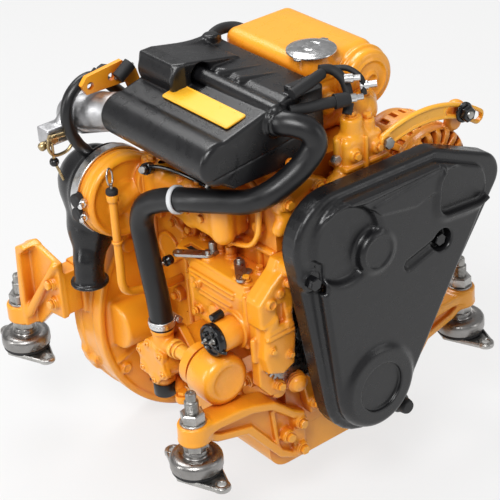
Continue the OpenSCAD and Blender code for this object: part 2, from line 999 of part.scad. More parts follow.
module mount_nuts() {
    nut_r = nut_af / sqrt(3);
    color(steel) for (p = mount_places) {
        difference() {
            translate([p[0], p[1], collar_top])
                cylinder(h = foot_low - collar_top, r = nut_r, $fn = hex);
            rod_z([p[0], p[1], collar_top - overrun], foot_low - collar_top + 2 * overrun, stud_d);
        }
        difference() {
            union() {
                rod_z([p[0], p[1], foot_top], washer_h, 2 * washer_r);
                translate([p[0], p[1], mount_washer_top]) cylinder(h = nut_h, r = nut_r, $fn = hex);
            }
            rod_z([p[0], p[1], foot_top - overrun], washer_h + nut_h + 2 * overrun, stud_d);
        }
    }
}

// Belt cover
crank_boss_r = 50;
crank_boss_front = cover_face - 6;
crank_dish_r = 31;
crank_dish_depth = 4;
pump_dish = [-35, 195];
pump_dish_r = 46;
pump_dish_depth = 9;
small_boss = [4, 171];
small_boss_r = 25;
small_boss_front = cover_face - 3;
alternator_dish = [[110, 190, 16], [166, 190, 16], [172, 204, 16], [112, 215, 16]];
belt_dish_depth = 9;
pocket = [[45, 134, 7], [96, 139, 12], [102, 145, 14], [92, 152, 9]];
ear_outline_r = 11;

function shrunk(corners, by) = [for (c = corners) [c[0], c[1], c[2] - by]];
function grown(corners, by) = [for (c = corners) [c[0], c[1], c[2] + by]];

module rounded_y(corners, y_from, y_to) {
    plate_y(rounded_points(corners, corner_steps), y_from, y_to);
}

module belt_cover() {
    recess_wall = cover_wall;
    color(black_plastic) difference() {
        union() {
            difference() {
                union() {
                    rounded_y(cover_corners, cover_step, cover_back);
                    rounded_y(face_corners, cover_face, cover_step);
                    rod_y([0, crank_boss_front, 0], cover_face - crank_boss_front, 2 * crank_boss_r);
                }
                rounded_y(pocket, cover_face - overrun, cover_step);
                rod_y(
                    [cover_bosses[0][0], cover_face - overrun, cover_bosses[0][1]],
                    cover_step - cover_face + overrun, 2 * ear_outline_r
                );
                rod_y(
                    [pump_dish[0], cover_face - overrun, pump_dish[1]],
                    pump_dish_depth + overrun, 2 * pump_dish_r
                );
                rounded_y(
                    alternator_dish, cover_face - overrun, cover_face + belt_dish_depth
                );
                rod_y([0, crank_boss_front - overrun, 0], crank_dish_depth + overrun, 2 * crank_dish_r);
                rounded_y(shrunk(cover_corners, cover_wall), cover_step + cover_wall, cover_back + overrun);
                difference() {
                    rounded_y(
                        shrunk(face_corners, cover_wall), cover_face + cover_wall,
                        cover_step + cover_wall + overrun
                    );
                    rounded_y(grown(pocket, recess_wall), cover_face, cover_step + cover_wall);
                    rod_y(
                        [cover_bosses[0][0], cover_face, cover_bosses[0][1]],
                        cover_step - cover_face + cover_wall, 2 * (ear_outline_r + recess_wall)
                    );
                    rod_y(
                        [pump_dish[0], cover_face, pump_dish[1]],
                        pump_dish_depth + cover_wall, 2 * (pump_dish_r + recess_wall)
                    );
                    rounded_y(
                        grown(alternator_dish, recess_wall), cover_face,
                        cover_face + belt_dish_depth + cover_wall
                    );
                }
            }
            rod_y(
                [small_boss[0], small_boss_front, small_boss[1]],
                cover_face + pump_dish_depth + cover_wall - small_boss_front, 2 * small_boss_r
            );
            rod_y([cover_knob[0], cover_step, cover_knob[1]], cover_wall, 2 * ear_outline_r);
        }
        for (p = post_places)
            rod_y([p[0], cover_step - overrun, p[1]], cover_wall + 2 * overrun, bolt_d + seal_gap);
    }
}

module cover_bolts() {
    color(steel) for (p = cover_bosses)
        hex_bolt_y([p[0], cover_step, p[1]], head_thick, head_r, cover_wall + 2 * cover_boss_r, bolt_d);
    color(rubber) {
        rod_y([cover_knob[0], cover_step - 2 * head_thick, cover_knob[1]], 2 * head_thick, 2 * cover_boss_r);
        rod_y([cover_knob[0], cover_step, cover_knob[1]], cover_wall + 2 * cover_boss_r, bolt_d);
    }
}

// Drive belt
function belt_circles(offset) = [
    [crank_centre[0], crank_centre[1], crank_belt_r + offset],
    [alternator_at[0], alternator_at[1], alternator_belt_r + offset],
    [pump_centre[0], pump_centre[1], pump_belt_r + offset]
];

module drive_belt() {
    color(rubber) difference() {
        plate_y(
            rounded_points(belt_circles(belt_thick / 2), belt_steps),
            belt_y - belt_w / 2, belt_y + belt_w / 2
        );
        plate_y(
            rounded_points(belt_circles(-belt_thick / 2), belt_steps),
            belt_y - belt_w / 2 - overrun, belt_y + belt_w / 2 + overrun
        );
    }
}

// Coolant pump
pump_flange_w = 8;
pump_flange_d = 72;
pump_body_d = 62;
pump_body_front = block_front - 28;
pump_cavity_front = block_front - 22;
pump_cavity_d = 52;
pump_nose_front = block_front - 35;
pump_nose_d = 26;
pump_shaft_d = 16;
impeller_d = 46;
impeller_w = 12;

module coolant_pump() {
    color(enamel) difference() {
        union() {
            rod_y([pump_centre[0], block_front - pump_flange_w, pump_centre[1]], pump_flange_w, pump_flange_d);
            rod_y(
                [pump_centre[0], pump_body_front, pump_centre[1]],
                block_front - pump_flange_w - pump_body_front, pump_body_d
            );
            rod_y(
                [pump_centre[0], pump_nose_front, pump_centre[1]],
                pump_body_front - pump_nose_front, pump_nose_d
            );
        }
        rod_y(
            [pump_centre[0], pump_cavity_front, pump_centre[1]],
            block_front - pump_cavity_front + overrun, pump_cavity_d
        );
        rod_y(
            [pump_centre[0], pump_nose_front - overrun, pump_centre[1]],
            block_front - pump_nose_front, pump_shaft_d + 2 * running_fit
        );
    }
}

module pump_rotor() {
    shaft_end = pump_cavity_front + overrun + impeller_w;
    color(cast_metal) union() {
        pulley(pump_centre, pump_belt_r, pump_shaft_d);
        rod_y([pump_centre[0], belt_y - pulley_half, pump_centre[1]], shaft_end - belt_y + pulley_half, pump_shaft_d);
        rod_y([pump_centre[0], pump_cavity_front + overrun, pump_centre[1]], impeller_w, impeller_d);
    }
}

// Thermostat housing
thermostat_x = [8, 60];
thermostat_front = block_front - 27;
thermostat_foot_z = 190;
thermostat_z = [228, 284];
thermostat_foot_w = 10;
thermostat_dome = [26, block_front - 13];
thermostat_dome_d = 26;
thermostat_dome_h = 20;

module thermostat_housing() {
    color(enamel) union() {
        box(
            [thermostat_x[0], block_front - thermostat_foot_w, thermostat_foot_z],
            [thermostat_x[1], block_front, thermostat_z[0]]
        );
        box(
            [thermostat_x[0], thermostat_front, thermostat_z[0]],
            [thermostat_x[1], block_front, thermostat_z[1]]
        );
        rod_z([thermostat_dome[0], thermostat_dome[1], thermostat_z[1]], thermostat_dome_h, thermostat_dome_d);
    }
}

// Belt adjusting strap, curved about the alternator pivot
pivot_place = [110, 128];
strap_front = block_front - 32;
strap_half = 9;
strap_r = 150;
strap_from = 52;
strap_to = 113;
slot_from = 54;
slot_to = 74;
slot_half = 4.5;
adjuster_angle = 65;
adjuster_at = [
    pivot_place[0] + strap_r * cos(adjuster_angle),
    pivot_place[1] + strap_r * sin(adjuster_angle)
];
strap_steps = 16;

function curved_band(r, half, from, to) = concat(
    arc_points(pivot_place, r + half, from, to, strap_steps),
    arc_points(pivot_place, r - half, to, from, strap_steps)
);

module adjusting_strap() {
    color(enamel) difference() {
        plate_y(
            curved_band(strap_r, strap_half, strap_from, strap_to), strap_front, thermostat_front
        );
        plate_y(
            curved_band(strap_r, slot_half, slot_from, slot_to),
            strap_front - overrun, thermostat_front + overrun
        );
    }
}

// Alternator and its pivot
alternator_front = thermostat_front + air_gap;
alternator_rear = alternator_front + alternator_l;
alternator_wall = 8;
alternator_shaft_d = 16;
alternator_ear_d = 24;
pivot_d = 10;
ear_gap = 0.4;
pivot_front_ear = [block_front + 4, block_front + 14];
pivot_rear_ear = [block_front + 40, block_front + 50];
ear_y = [pivot_front_ear[1] + ear_gap, pivot_rear_ear[0] - ear_gap];
lug_rear = block_front - 15;

module alternator() {
    color(cast_metal) difference() {
        union() {
            rod_y([alternator_at[0], alternator_front, alternator_at[1]], alternator_l, alternator_d);
            rod_y(
                [pivot_place[0], ear_y[0], pivot_place[1]],
                ear_y[1] - ear_y[0], alternator_ear_d
            );
            plate_y(
                [
                    [pivot_place[0] - alternator_ear_d / 2, pivot_place[1]],
                    [pivot_place[0] + alternator_ear_d / 2, pivot_place[1]],
                    alternator_at
                ],
                ear_y[0], ear_y[1]
            );
            plate_y(
                [
                    [alternator_at[0], alternator_at[1] + alternator_d / 3],
                    [alternator_at[0] + alternator_d / 3, alternator_at[1]],
                    [adjuster_at[0] + strap_half, adjuster_at[1]],
                    [adjuster_at[0], adjuster_at[1] + strap_half],
                    [adjuster_at[0] - strap_half, adjuster_at[1]]
                ],
                alternator_front, lug_rear
            );
        }
        rod_y(
            [alternator_at[0], alternator_front + alternator_wall, alternator_at[1]],
            alternator_l - 2 * alternator_wall, alternator_d - 2 * alternator_wall
        );
        rod_y(
            [alternator_at[0], alternator_front - overrun, alternator_at[1]],
            alternator_l, alternator_shaft_d + 2 * running_fit
        );
        rod_y(
            [pivot_place[0], ear_y[0] - overrun, pivot_place[1]],
            ear_y[1] - ear_y[0] + 2 * overrun, pivot_d + 2 * running_fit
        );
    }
    color(steel) rod_y(
        [adjuster_at[0], strap_front - air_gap - head_thick, adjuster_at[1]], head_thick,
        2 * head_r
    );
    color(steel) rod_y(
        [adjuster_at[0], strap_front - air_gap, adjuster_at[1]],
        alternator_front - strap_front + air_gap, 2 * slot_half - 1
    );
}

fan_d = 66;
fan_w = 4;
fan_gap = 1;
rotor_d = 78;

module alternator_rotor() {
    inside_front = alternator_front + alternator_wall + overrun;
    inside_rear = alternator_rear - alternator_wall - overrun;
    color(cast_metal) union() {
        pulley(alternator_at, alternator_belt_r, alternator_shaft_d);
        rod_y(
            [alternator_at[0], belt_y - pulley_half, alternator_at[1]],
            inside_rear - belt_y + pulley_half, alternator_shaft_d
        );
        rod_y(
            [alternator_at[0], alternator_front - fan_gap - fan_w, alternator_at[1]],
            fan_w, fan_d
        );
        rod_y([alternator_at[0], inside_front, alternator_at[1]], inside_rear - inside_front, rotor_d);
    }
}

module alternator_pivot() {
    half = alternator_ear_d / 2;
    color(enamel) {
        for (ear = [pivot_front_ear, pivot_rear_ear])
            difference() {
                union() {
                    rod_y(
                        [pivot_place[0], ear[0], pivot_place[1]],
                        ear[1] - ear[0], alternator_ear_d
                    );
                    box(
                        [block_x, ear[0], pivot_place[1] - half],
                        [pivot_place[0], ear[1], pivot_place[1] + half]
                    );
                }
                rod_y(
                    [pivot_place[0], ear[0] - overrun, pivot_place[1]],
                    ear[1] - ear[0] + 2 * overrun, pivot_d
                );
            }
        rod_y(
            [pivot_place[0], pivot_front_ear[0], pivot_place[1]],
            pivot_rear_ear[1] - pivot_front_ear[0], pivot_d
        );
    }
}

// Starter motor and its pinion
solenoid_place = [120, 12];
starter_solenoid_d = 46;
solenoid_y = [-172, -80];
starter_flange_w = 10;
starter_flange_d = 76;
pinion_shaft_d = 10;
pinion_shaft_end = -39;
pinion_teeth = 9;
pinion_pitch_r = 11.25;
pinion_y = [-52, -44];

module starter() {
    starter_front = block_rear - starter_l;
    color(cast_metal) union() {
        rod_y([starter_x, starter_front, starter_z], starter_l, starter_d);
        rod_y([starter_x, block_rear - starter_flange_w, starter_z], starter_flange_w, starter_flange_d);
        rod_y(
            [solenoid_place[0], solenoid_y[0], solenoid_place[1]],
            solenoid_y[1] - solenoid_y[0], starter_solenoid_d
        );
        rod_y([starter_x, block_rear, starter_z], pinion_shaft_end - block_rear, pinion_shaft_d);
    }
}

module starter_pinion() {
    color(steel) difference() {
        translate([starter_x, 0, starter_z]) plate_y(
            gear_points(pinion_teeth, pinion_pitch_r, ring_module, 0), pinion_y[0], pinion_y[1]
        );
        rod_y(
            [starter_x, pinion_y[0] - overrun, starter_z], pinion_y[1] - pinion_y[0] + 2 * overrun,
            pinion_shaft_d + 2 * running_fit
        );
    }
}

// Air silencer, with a hollow for the hose and a raised scoop at its rear
bulge_centre = [-131, silencer_bottom + 36];
bulge_r = 23;
silencer_fold_x = -76;
silencer_low_x = -116;
groove_z = silencer_top + 1;
groove_x = -82;
groove_end = -166;
groove_d = hose_d + 2 * air_gap;
scoop_x = [-95, -14];
scoop_rear = -100;
scoop_top = silencer_top + 16;
scoop_chamfer = 8;
rib_places = [[-53, silencer_front + 45], [-44, silencer_front + 69], [-35, silencer_front + 93]];
rib_size = [34, 7, 3];
rib_turn = 35;

module air_silencer() {
    color(black_plastic) difference() {
        union() {
            plate_y(
                concat(
                    [
                        [silencer_right, silencer_bottom], [silencer_right, silencer_top],
                        [silencer_fold_x, silencer_top]
                    ],
                    arc_points(bulge_centre, bulge_r, 80, 205, corner_steps),
                    [[silencer_low_x, silencer_bottom]]
                ),
                silencer_front, silencer_rear
            );
            plate_y(
                [
                    [scoop_x[0], silencer_top - scoop_chamfer], [scoop_x[1], silencer_top - scoop_chamfer],
                    [scoop_x[1], scoop_top - scoop_chamfer], [scoop_x[1] - scoop_chamfer, scoop_top],
                    [scoop_x[0] + scoop_chamfer, scoop_top], [scoop_x[0], scoop_top - scoop_chamfer]
                ],
                groove_end, scoop_rear
            );
            for (p = rib_places)
                translate([p[0], p[1], silencer_top + rib_size[2] / 2]) rotate([0, 0, rib_turn])
                    cube(rib_size, center = true);
        }
        rod_y(
            [groove_x, silencer_front - overrun, groove_z],
            groove_end - silencer_front + overrun, groove_d
        );
    }
}

// Badge plate, left plain, on the slanted panel
badge_l = 117;
badge_w = 25;
badge_thick = 1.5;
badge_y = silencer_front + 14;
badge_start = 10;

module badge_plate() {
    fold_end = bulge_centre + bulge_r * [cos(80), sin(80)];
    slope = atan2(silencer_top - fold_end[1], silencer_fold_x - fold_end[0]);
    color([0.98, 0.75, 0.15]) translate([fold_end[0], badge_y, fold_end[1]]) rotate([0, -slope, 0])
        box([badge_start, 0, 0], [badge_start + badge_w, badge_l, badge_thick]);
}

// Intake manifold and the pipe that feeds it
intake_x = [block_x, 122];
intake_y = [block_front + 65, block_rear - 35];
intake_z = [head_top - 50, head_top];
intake_corner = 14;

module intake_manifold() {
    color(enamel) plate_y(
        concat(
            [[intake_x[0], intake_z[0]]],
            arc_points([intake_x[1] - intake_corner, intake_z[0] + intake_corner], intake_corner, 270, 360, corner_steps),
            arc_points([intake_x[1] - intake_corner, intake_z[1] - intake_corner], intake_corner, 0, 90, corner_steps),
            [[intake_x[0], intake_z[1]]]
        ),
        intake_y[0], intake_y[1]
    );
}

intake_pipe_r = 20;
intake_pipe_sides = 16;
intake_route = [
    [-128, -96, 290], [-128, -84, 290], [-134, -66, 287], [-143, -46, 282], [-146, -28, 275],
    [-136, -14, 265], [-110, -6, 256], [-70, -4, 244], [-20, -4, 234], [30, -6, 224],
    [68, -14, 214], [90, -30, 206], [98, -50, 201], [98, -70, 200], [98, -88, 200]
];
throttle_low = [-196, -46, 255];
throttle_high = [-156, -24, 275];
throttle_wall = 5;

module intake_elbow() {
    color(steel) union() {
        swept_tube(intake_route, [for (p = intake_route) intake_pipe_r], intake_pipe_sides, [0, 0, 1]);
        difference() {
            box(throttle_low, throttle_high);
            box(
                throttle_low + [throttle_wall, -overrun, throttle_wall],
                throttle_high + [overrun - throttle_wall, overrun, -throttle_wall]
            );
        }
    }
}

// Exhaust manifold on the left of the head, and the drum at its rear
exhaust_x = [-118, -block_x];
exhaust_y = [block_front + 44, block_rear - 47];
exhaust_z = [head_top - 48, head_top];
drum_x = -136;
drum_z = 174;
drum_y = [-95, -66];
drum_neck_place = [-98, -100, 202];
drum_neck_d = 44;

module exhaust_manifold() {
    color(enamel) plate_y(
        concat(
            [[exhaust_x[1], exhaust_z[1]]],
            arc_points([exhaust_x[0] + intake_corner, exhaust_z[1] - intake_corner], intake_corner, 90, 180, corner_steps),
            arc_points([exhaust_x[0] + intake_corner, exhaust_z[0] + intake_corner], intake_corner, 180, 270, corner_steps),
            [[exhaust_x[1], exhaust_z[0]]]
        ),
        exhaust_y[0], exhaust_y[1]
    );
}

module exhaust_drum() {
    color(enamel) union() {
        rod_y([drum_x, drum_y[0], drum_z], drum_y[1] - drum_y[0], drum_d);
        rod_y(drum_neck_place, drum_y[0] - drum_neck_place[1], drum_neck_d);
    }
}

outlet_place = [-170, -62, 78];
outlet_l = 22;
outlet_lip_d = 50;
outlet_lip_h = 3;
outlet_bore_d = 34;
elbow_mouth_w = 10;
elbow_bend = [[-140, -34, 175, 44], [-154, -25, 134, 34], [-164, -42, 108, 26]];
hull_sides = 32;

module elbow_ball(i) {
    translate([elbow_bend[i][0], elbow_bend[i][1], elbow_bend[i][2]])
        sphere(r = elbow_bend[i][3], $fn = hull_sides);
}

module exhaust_elbow() {
    outlet_top = outlet_place + [0, 0, outlet_l];
    color(black_plastic) difference() {
        union() {
            difference() {
                union() {
                    hull() {
                        rod_y([drum_x, drum_y[1], drum_z], elbow_mouth_w, drum_d);
                        elbow_ball(0);
                    }
                    hull() {
                        elbow_ball(0);
                        elbow_ball(1);
                    }
                }
                box(
                    [drum_x - drum_d, drum_y[0] - drum_d, drum_z - drum_d],
                    [drum_x + drum_d, drum_y[1], drum_z + drum_d]
                );
            }
            difference() {
                union() {
                    hull() {
                        elbow_ball(1);
                        elbow_ball(2);
                    }
                    hull() {
                        elbow_ball(2);
                        rod_z(outlet_top - [0, 0, overrun], overrun, exhaust_outlet_d);
                    }
                }
                rod_y(
                    [drum_x, drum_y[0] - drum_d, drum_z], band_y[1] + air_gap - drum_y[0] + drum_d,
                    drum_d + 2 * band_wall + 4 * air_gap
                );
            }
            rod_z(outlet_place, outlet_l, exhaust_outlet_d);
            rod_z(outlet_place, outlet_lip_h, outlet_lip_d);
        }
        rod_z(outlet_place - [0, 0, overrun], outlet_l, outlet_bore_d);
        rod_y([0, block_rear - air_gap, 0], housing_d, 2 * (housing_r + air_gap));
    }
}

// Band that clamps the elbow to the drum
band_y = [-72, -60];
band_wall = 2.5;
band_block_x = [-206, -194];
band_block_z = [148, 186];
band_stud_d = 9;
band_stud_l = 6;
band_stud_zs = [157, 177];

module elbow_clamp() {
    band_stud_x = (band_block_x[0] + band_block_x[1]) / 2;
    color(steel) union() {
        ring_y(
            [drum_x, band_y[0], drum_z], band_y[1] - band_y[0],
            drum_d + 2 * running_fit + 2 * band_wall, drum_d + 2 * running_fit
        );
        difference() {
            box(
                [band_block_x[0], band_y[0], band_block_z[0]],
                [drum_x, band_y[1], band_block_z[1]]
            );
            rod_y([drum_x, band_y[0] - overrun, drum_z], band_y[1] - band_y[0] + 2 * overrun, drum_d + 2 * running_fit);
        }
        for (z = band_stud_zs)
            rod_y([band_stud_x, band_y[0] - band_stud_l, z], band_stud_l, band_stud_d);
    }
}

// Water pump, driven through the side of the crankcase
water_y = -160;
water_z = 10;
water_d = 56;
water_x = [-165, -120];
water_pump_flange_d = 76;
pump_flange_x = [-132, -120];
water_neck_d = 40;
chamber_d = 44;
chamber_x = [-160, -138];
water_shaft_d = 12;
port_d_out = 26;
outlet_port_y = -167;
outlet_port_top = 54;
inlet_port_y = -161;
inlet_bottom = -38;
inlet_port_d = 22;
collar_bottom = -18;
inlet_collar_d = 28;
oil_line_rear = -176;
oil_line_z = 38;
oil_line_d = 15;

module raw_water_pump() {
    color(enamel) difference() {
        union() {
            rod_x([water_x[0], water_y, water_z], water_x[1] - water_x[0], water_d);
            rod_x(
                [pump_flange_x[0], water_y, water_z],
                pump_flange_x[1] - pump_flange_x[0], water_pump_flange_d
            );
            rod_x([water_x[1], water_y, water_z], -block_x - water_x[1], water_neck_d);
            rod_z([filter_x, outlet_port_y, water_z], outlet_port_top - water_z, port_d_out);
            rod_z([filter_x, inlet_port_y, inlet_bottom], water_z - inlet_bottom, inlet_port_d);
            rod_z([filter_x, inlet_port_y, collar_bottom], water_z - collar_bottom, inlet_collar_d);
            rod_y(
                [filter_x, filter_head_front + filter_head_w, oil_line_z],
                oil_line_rear - filter_head_front - filter_head_w, oil_line_d
            );
        }
        rod_x([chamber_x[0], water_y, water_z], chamber_x[1] - chamber_x[0], chamber_d);
        rod_x(
            [chamber_x[0], water_y, water_z], -block_x - chamber_x[0] + overrun,
            water_shaft_d + 2 * running_fit
        );
    }
}

rotor_gap = 1;

module raw_water_impeller() {
    color(rubber) union() {
        rod_x(
            [chamber_x[0] + rotor_gap, water_y, water_z],
            chamber_x[1] - chamber_x[0] - 2 * rotor_gap, chamber_d - 2 * rotor_gap
        );
        rod_x(
            [chamber_x[0] + rotor_gap, water_y, water_z],
            -block_x - air_gap - chamber_x[0] - rotor_gap, water_shaft_d
        );
    }
}

// Header tank with the heat exchanger in its side
tank_corner = 14;
exchanger_bolt_d = 12;
exchanger_bolt_h = 4;

module header_tank() {
    color(enamel) difference() {
        union() {
            plate_y(
                rounded_points(
                    box_corners([tank_left, tank_bottom], [tank_right, tank_top], tank_corner),
                    corner_steps
                ),
                tank_front, tank_rear
            );
            rod_y([exchanger_x, exchanger_front, exchanger_z], tank_front - exchanger_front, 2 * exchanger_r);
            rod_y(
                [exchanger_x, exchanger_front - exchanger_bolt_h, exchanger_z], exchanger_bolt_h,
                exchanger_bolt_d
            );
            rod_z([filler_x, filler_y, tank_top - tank_corner], neck_h + tank_corner, 2 * neck_r);
        }
        rod_z([filler_x, filler_y, tank_top - neck_h], 2 * neck_h + overrun, 2 * neck_r - 2 * neck_wall);
    }
}

neck_wall = 3;
cap_ear_w = 9;
cap_ear_out = 4;
cap_gap = 0.3;
cap_skirt = 4;

module filler_cap() {
    bottom = tank_top + neck_h + cap_gap;
    color(steel) union() {
        rod_z([filler_x, filler_y, bottom], cap_h - neck_h, filler_cap_d);
        rod_z([filler_x, filler_y, bottom - cap_skirt], cap_skirt, 2 * neck_r - 2 * neck_wall - 2 * seal_gap);
        for (turn = [20, 200])
            translate([filler_x, filler_y, bottom]) rotate([0, 0, turn])
                box([0, -cap_ear_w / 2, 0], [filler_cap_d / 2 + cap_ear_out, cap_ear_w / 2, cap_h - neck_h]);
    }
}

// Crankcase breather hose
breather_r = 5;
breather_sides = 8;
breather_route = [
    [-30, -66, 245], [-30, -56, 245], [-36, -50, 246], [-60, -46, 256], [-90, -46, 284], [-112, -46, 308],
    [-130, -50, 321], [-148, -52, 322], [-165, -53, 311], [-173, -54, 294], [-172, -54, 272],
    [-162, -54, 250], [-153, -53, 239], [-149, -52, 232]
];

module breather_hose() {
    color(rubber)
        swept_tube(breather_route, [for (p = breather_route) breather_r], breather_sides, [0, 0, 1]);
}

// Oil filter
filter_dome_h = 6;

module oil_filter() {
    color(enamel) difference() {
        union() {
            rod_y([filter_x, filter_front + filter_dome_h, filter_z], filter_rear - filter_front - filter_dome_h, filter_d);
            rod_y([filter_x, filter_front, filter_z], filter_dome_h, filter_d - filter_dome_h);
            rod_y([filter_x, filter_rear, filter_z], filter_head_front - filter_rear, filter_head_d);
        }
        rod_y([filter_x, filter_front - overrun, filter_z], filter_dome_h / 2 + overrun, filter_d / 2);
    }
}

// Stop solenoid
stop_solenoid_y = -270;
stop_solenoid_z = 87;
stop_solenoid_x = -160;
solenoid_cap_w = 10;
terminal_d = 8;
terminal_l = 6;

module stop_solenoid() {
    color(black_plastic) union() {
        rod_x([stop_solenoid_x, stop_solenoid_y, stop_solenoid_z], solenoid_cap_w, solenoid_d);
        rod_x(
            [stop_solenoid_x + solenoid_cap_w, stop_solenoid_y, stop_solenoid_z],
            governor_left - stop_solenoid_x - solenoid_cap_w, solenoid_d - 2 * overrun
        );
        rod_x([stop_solenoid_x - terminal_l, stop_solenoid_y, stop_solenoid_z], terminal_l, terminal_d);
    }
}

// Raw water hose and its clamps
module raw_water_hose() {
    color(rubber)
        swept_tube(hose_route, [for (p = hose_route) hose_r], hose_sides, [1, 0, 0]);
}

clamp_gap = 0.3;
clamp_wall = 1.5;
worm_clamp_w = 9;
worm_clamp_z = 57;
worm_screw_d = 9;
worm_screw_l = 16;
tie_w = 6;
tie_at = 8;

module hose_clamps() {
    inner_d = hose_d + 2 * clamp_gap;
    outer_d = inner_d + 2 * clamp_wall;
    place = hose_route[tie_at];
    along = unit(hose_route[tie_at + 1] - hose_route[tie_at - 1]);
    color(steel) {
        union() {
            ring_z([hose_route[0][0], hose_route[0][1], worm_clamp_z], worm_clamp_w, outer_d, inner_d);
            rod_y(
                [hose_route[0][0] + outer_d / 2 + worm_screw_d / 2, hose_route[0][1] - worm_screw_l / 2,
                 worm_clamp_z + worm_clamp_w / 2],
                worm_screw_l, worm_screw_d
            );
        }
        translate(place)
            rotate([0, acos(along[2]), atan2(along[1], along[0])])
                ring_z([0, 0, -tie_w / 2], tie_w, outer_d, inner_d);
    }
}

// Dipstick and its tube
dipstick_x = -166;
dipstick_y = -118;
stick_bottom = 104;
collar_z = 213;
tube_d = 10;
tube_bore_d = 5;
collar_d = 14;
collar_h = 8;
tube_foot_route = [
    [-166, -118, 104], [-166, -118, 96], [-159, -116, 84], [-138, -112, 74], [-112, -108, 66],
    [-92, -106, 62], [-75, -106, 62]
];

module dipstick_tube() {
    color(enamel) union() {
        ring_z([dipstick_x, dipstick_y, stick_bottom], collar_z - stick_bottom, tube_d, tube_bore_d);
        ring_z([dipstick_x, dipstick_y, collar_z - collar_h], collar_h, collar_d, tube_bore_d);
        swept_tube(tube_foot_route, [for (p = tube_foot_route) tube_d / 2], line_sides, [1, 0, 0]);
    }
}

stick_d = 4;
stopper_d = 12;
stopper_h = 6;
handle_d = 15;
handle_wire = 2.4;

module dipstick() {
    stopper = collar_z + air_gap;
    color(steel) union() {
        rod_z(
            [dipstick_x, dipstick_y, stick_bottom + overrun],
            stopper - stick_bottom - overrun, stick_d
        );
        rod_z([dipstick_x, dipstick_y, stopper], stopper_h, stopper_d);
        translate([dipstick_x, dipstick_y, stopper + stopper_h + handle_d / 2])
            rotate([90, 0, 30]) rotate_extrude()
                translate([handle_d / 2, 0]) circle(d = handle_wire);
    }
}

// Lifting eye
eye_y = [-64, -58];
eye_outline = [
    [-74, 180], [-46, 180], [-46, 214], [-60, 232], [-66, 262], [-82, 320], [-100, 336],
    [-148, 331], [-156, 322], [-150, 310], [-96, 309], [-80, 262], [-76, 230]
];
eye_hole_d = 9;
eye_holes = [[-144, 319], [-116, 321]];

module lifting_eye() {
    color(enamel) difference() {
        plate_y(eye_outline, eye_y[0], eye_y[1]);
        for (p = eye_holes)
            rod_y([p[0], eye_y[0] - overrun, p[1]], eye_y[1] - eye_y[0] + 2 * overrun, eye_hole_d);
    }
}

crankcase();
cylinder_head();
rocker_cover();
oil_filler_cap();
sump();
injection_lines();
timing_case();
governor_housing();
flywheel_housing();
crankshaft();
flywheel();
crank_gear();
crank_pulley();
piston_front();
piston_rear();
camshaft();
cam_gear();
front_bracket_left();
front_bracket_right();
rear_bracket_left();
rear_bracket_right();
mount_bases();
mount_rubbers();
mount_domes();
mount_studs();
mount_nuts();
belt_cover();
cover_bolts();
drive_belt();
coolant_pump();
pump_rotor();
thermostat_housing();
adjusting_strap();
alternator();
alternator_rotor();
alternator_pivot();
starter();
starter_pinion();
air_silencer();
badge_plate();
intake_manifold();
intake_elbow();
exhaust_manifold();
header_tank();
filler_cap();
exhaust_drum();
exhaust_elbow();
elbow_clamp();
raw_water_pump();
raw_water_impeller();
breather_hose();
oil_filter();
stop_solenoid();
raw_water_hose();
hose_clamps();
dipstick_tube();
dipstick();
speed_lever();
stop_lever();
lifting_eye();
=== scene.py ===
import math

import bpy
import numpy as np
from mathutils import Matrix, Vector


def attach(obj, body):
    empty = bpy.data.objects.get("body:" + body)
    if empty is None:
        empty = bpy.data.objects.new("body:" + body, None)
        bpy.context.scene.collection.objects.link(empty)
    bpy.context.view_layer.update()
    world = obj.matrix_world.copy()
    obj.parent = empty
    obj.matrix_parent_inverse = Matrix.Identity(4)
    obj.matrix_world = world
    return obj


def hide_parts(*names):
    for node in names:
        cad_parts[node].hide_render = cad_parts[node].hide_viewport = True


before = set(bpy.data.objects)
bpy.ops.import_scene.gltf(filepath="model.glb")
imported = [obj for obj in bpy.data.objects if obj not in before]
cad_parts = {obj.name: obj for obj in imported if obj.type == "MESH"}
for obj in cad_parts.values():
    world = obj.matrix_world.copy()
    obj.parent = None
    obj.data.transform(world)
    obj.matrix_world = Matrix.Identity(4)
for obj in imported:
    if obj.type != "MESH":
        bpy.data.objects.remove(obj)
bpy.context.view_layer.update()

# Small two-cylinder marine diesel engine. Shapes are written in millimetres and become metres in the mesh
MM = 0.001
X, Y, Z = 0, 1, 2
UP, FRONT, BACK, LEFT = (0, 0, 1), (0, -1, 0), (0, 1, 0), (-1, 0, 0)

# Radii, in metres, by which the materials soften the edges of a casting and of a turned or pressed part
SOFT_EDGE, SHARP_EDGE = 0.0012, 0.0006


# Materials

def principled(name, base, rough, metal=0.0, coat=0.0, coat_rough=0.1):
    m = bpy.data.materials.new(name)
    m.use_nodes = True
    nodes, links = m.node_tree.nodes, m.node_tree.links
    shader = nodes["Principled BSDF"]
    shader.inputs["Base Color"].default_value = (*base, 1)
    shader.inputs["Roughness"].default_value = rough
    shader.inputs["Metallic"].default_value = metal
    shader.inputs["Coat Weight"].default_value = coat
    shader.inputs["Coat Roughness"].default_value = coat_rough
    shader.inputs["Specular IOR Level"].default_value = 0.5
    place = nodes.new("ShaderNodeTexCoord")
    return m, nodes, links, shader, place.outputs["Object"]


def noise(nodes, links, place, scale, detail=3.0, rough=0.5):
    n = nodes.new("ShaderNodeTexNoise")
    n.inputs["Scale"].default_value = scale
    n.inputs["Detail"].default_value = detail
    n.inputs["Roughness"].default_value = rough
    links.new(place, n.inputs["Vector"])
    return n.outputs["Fac"]


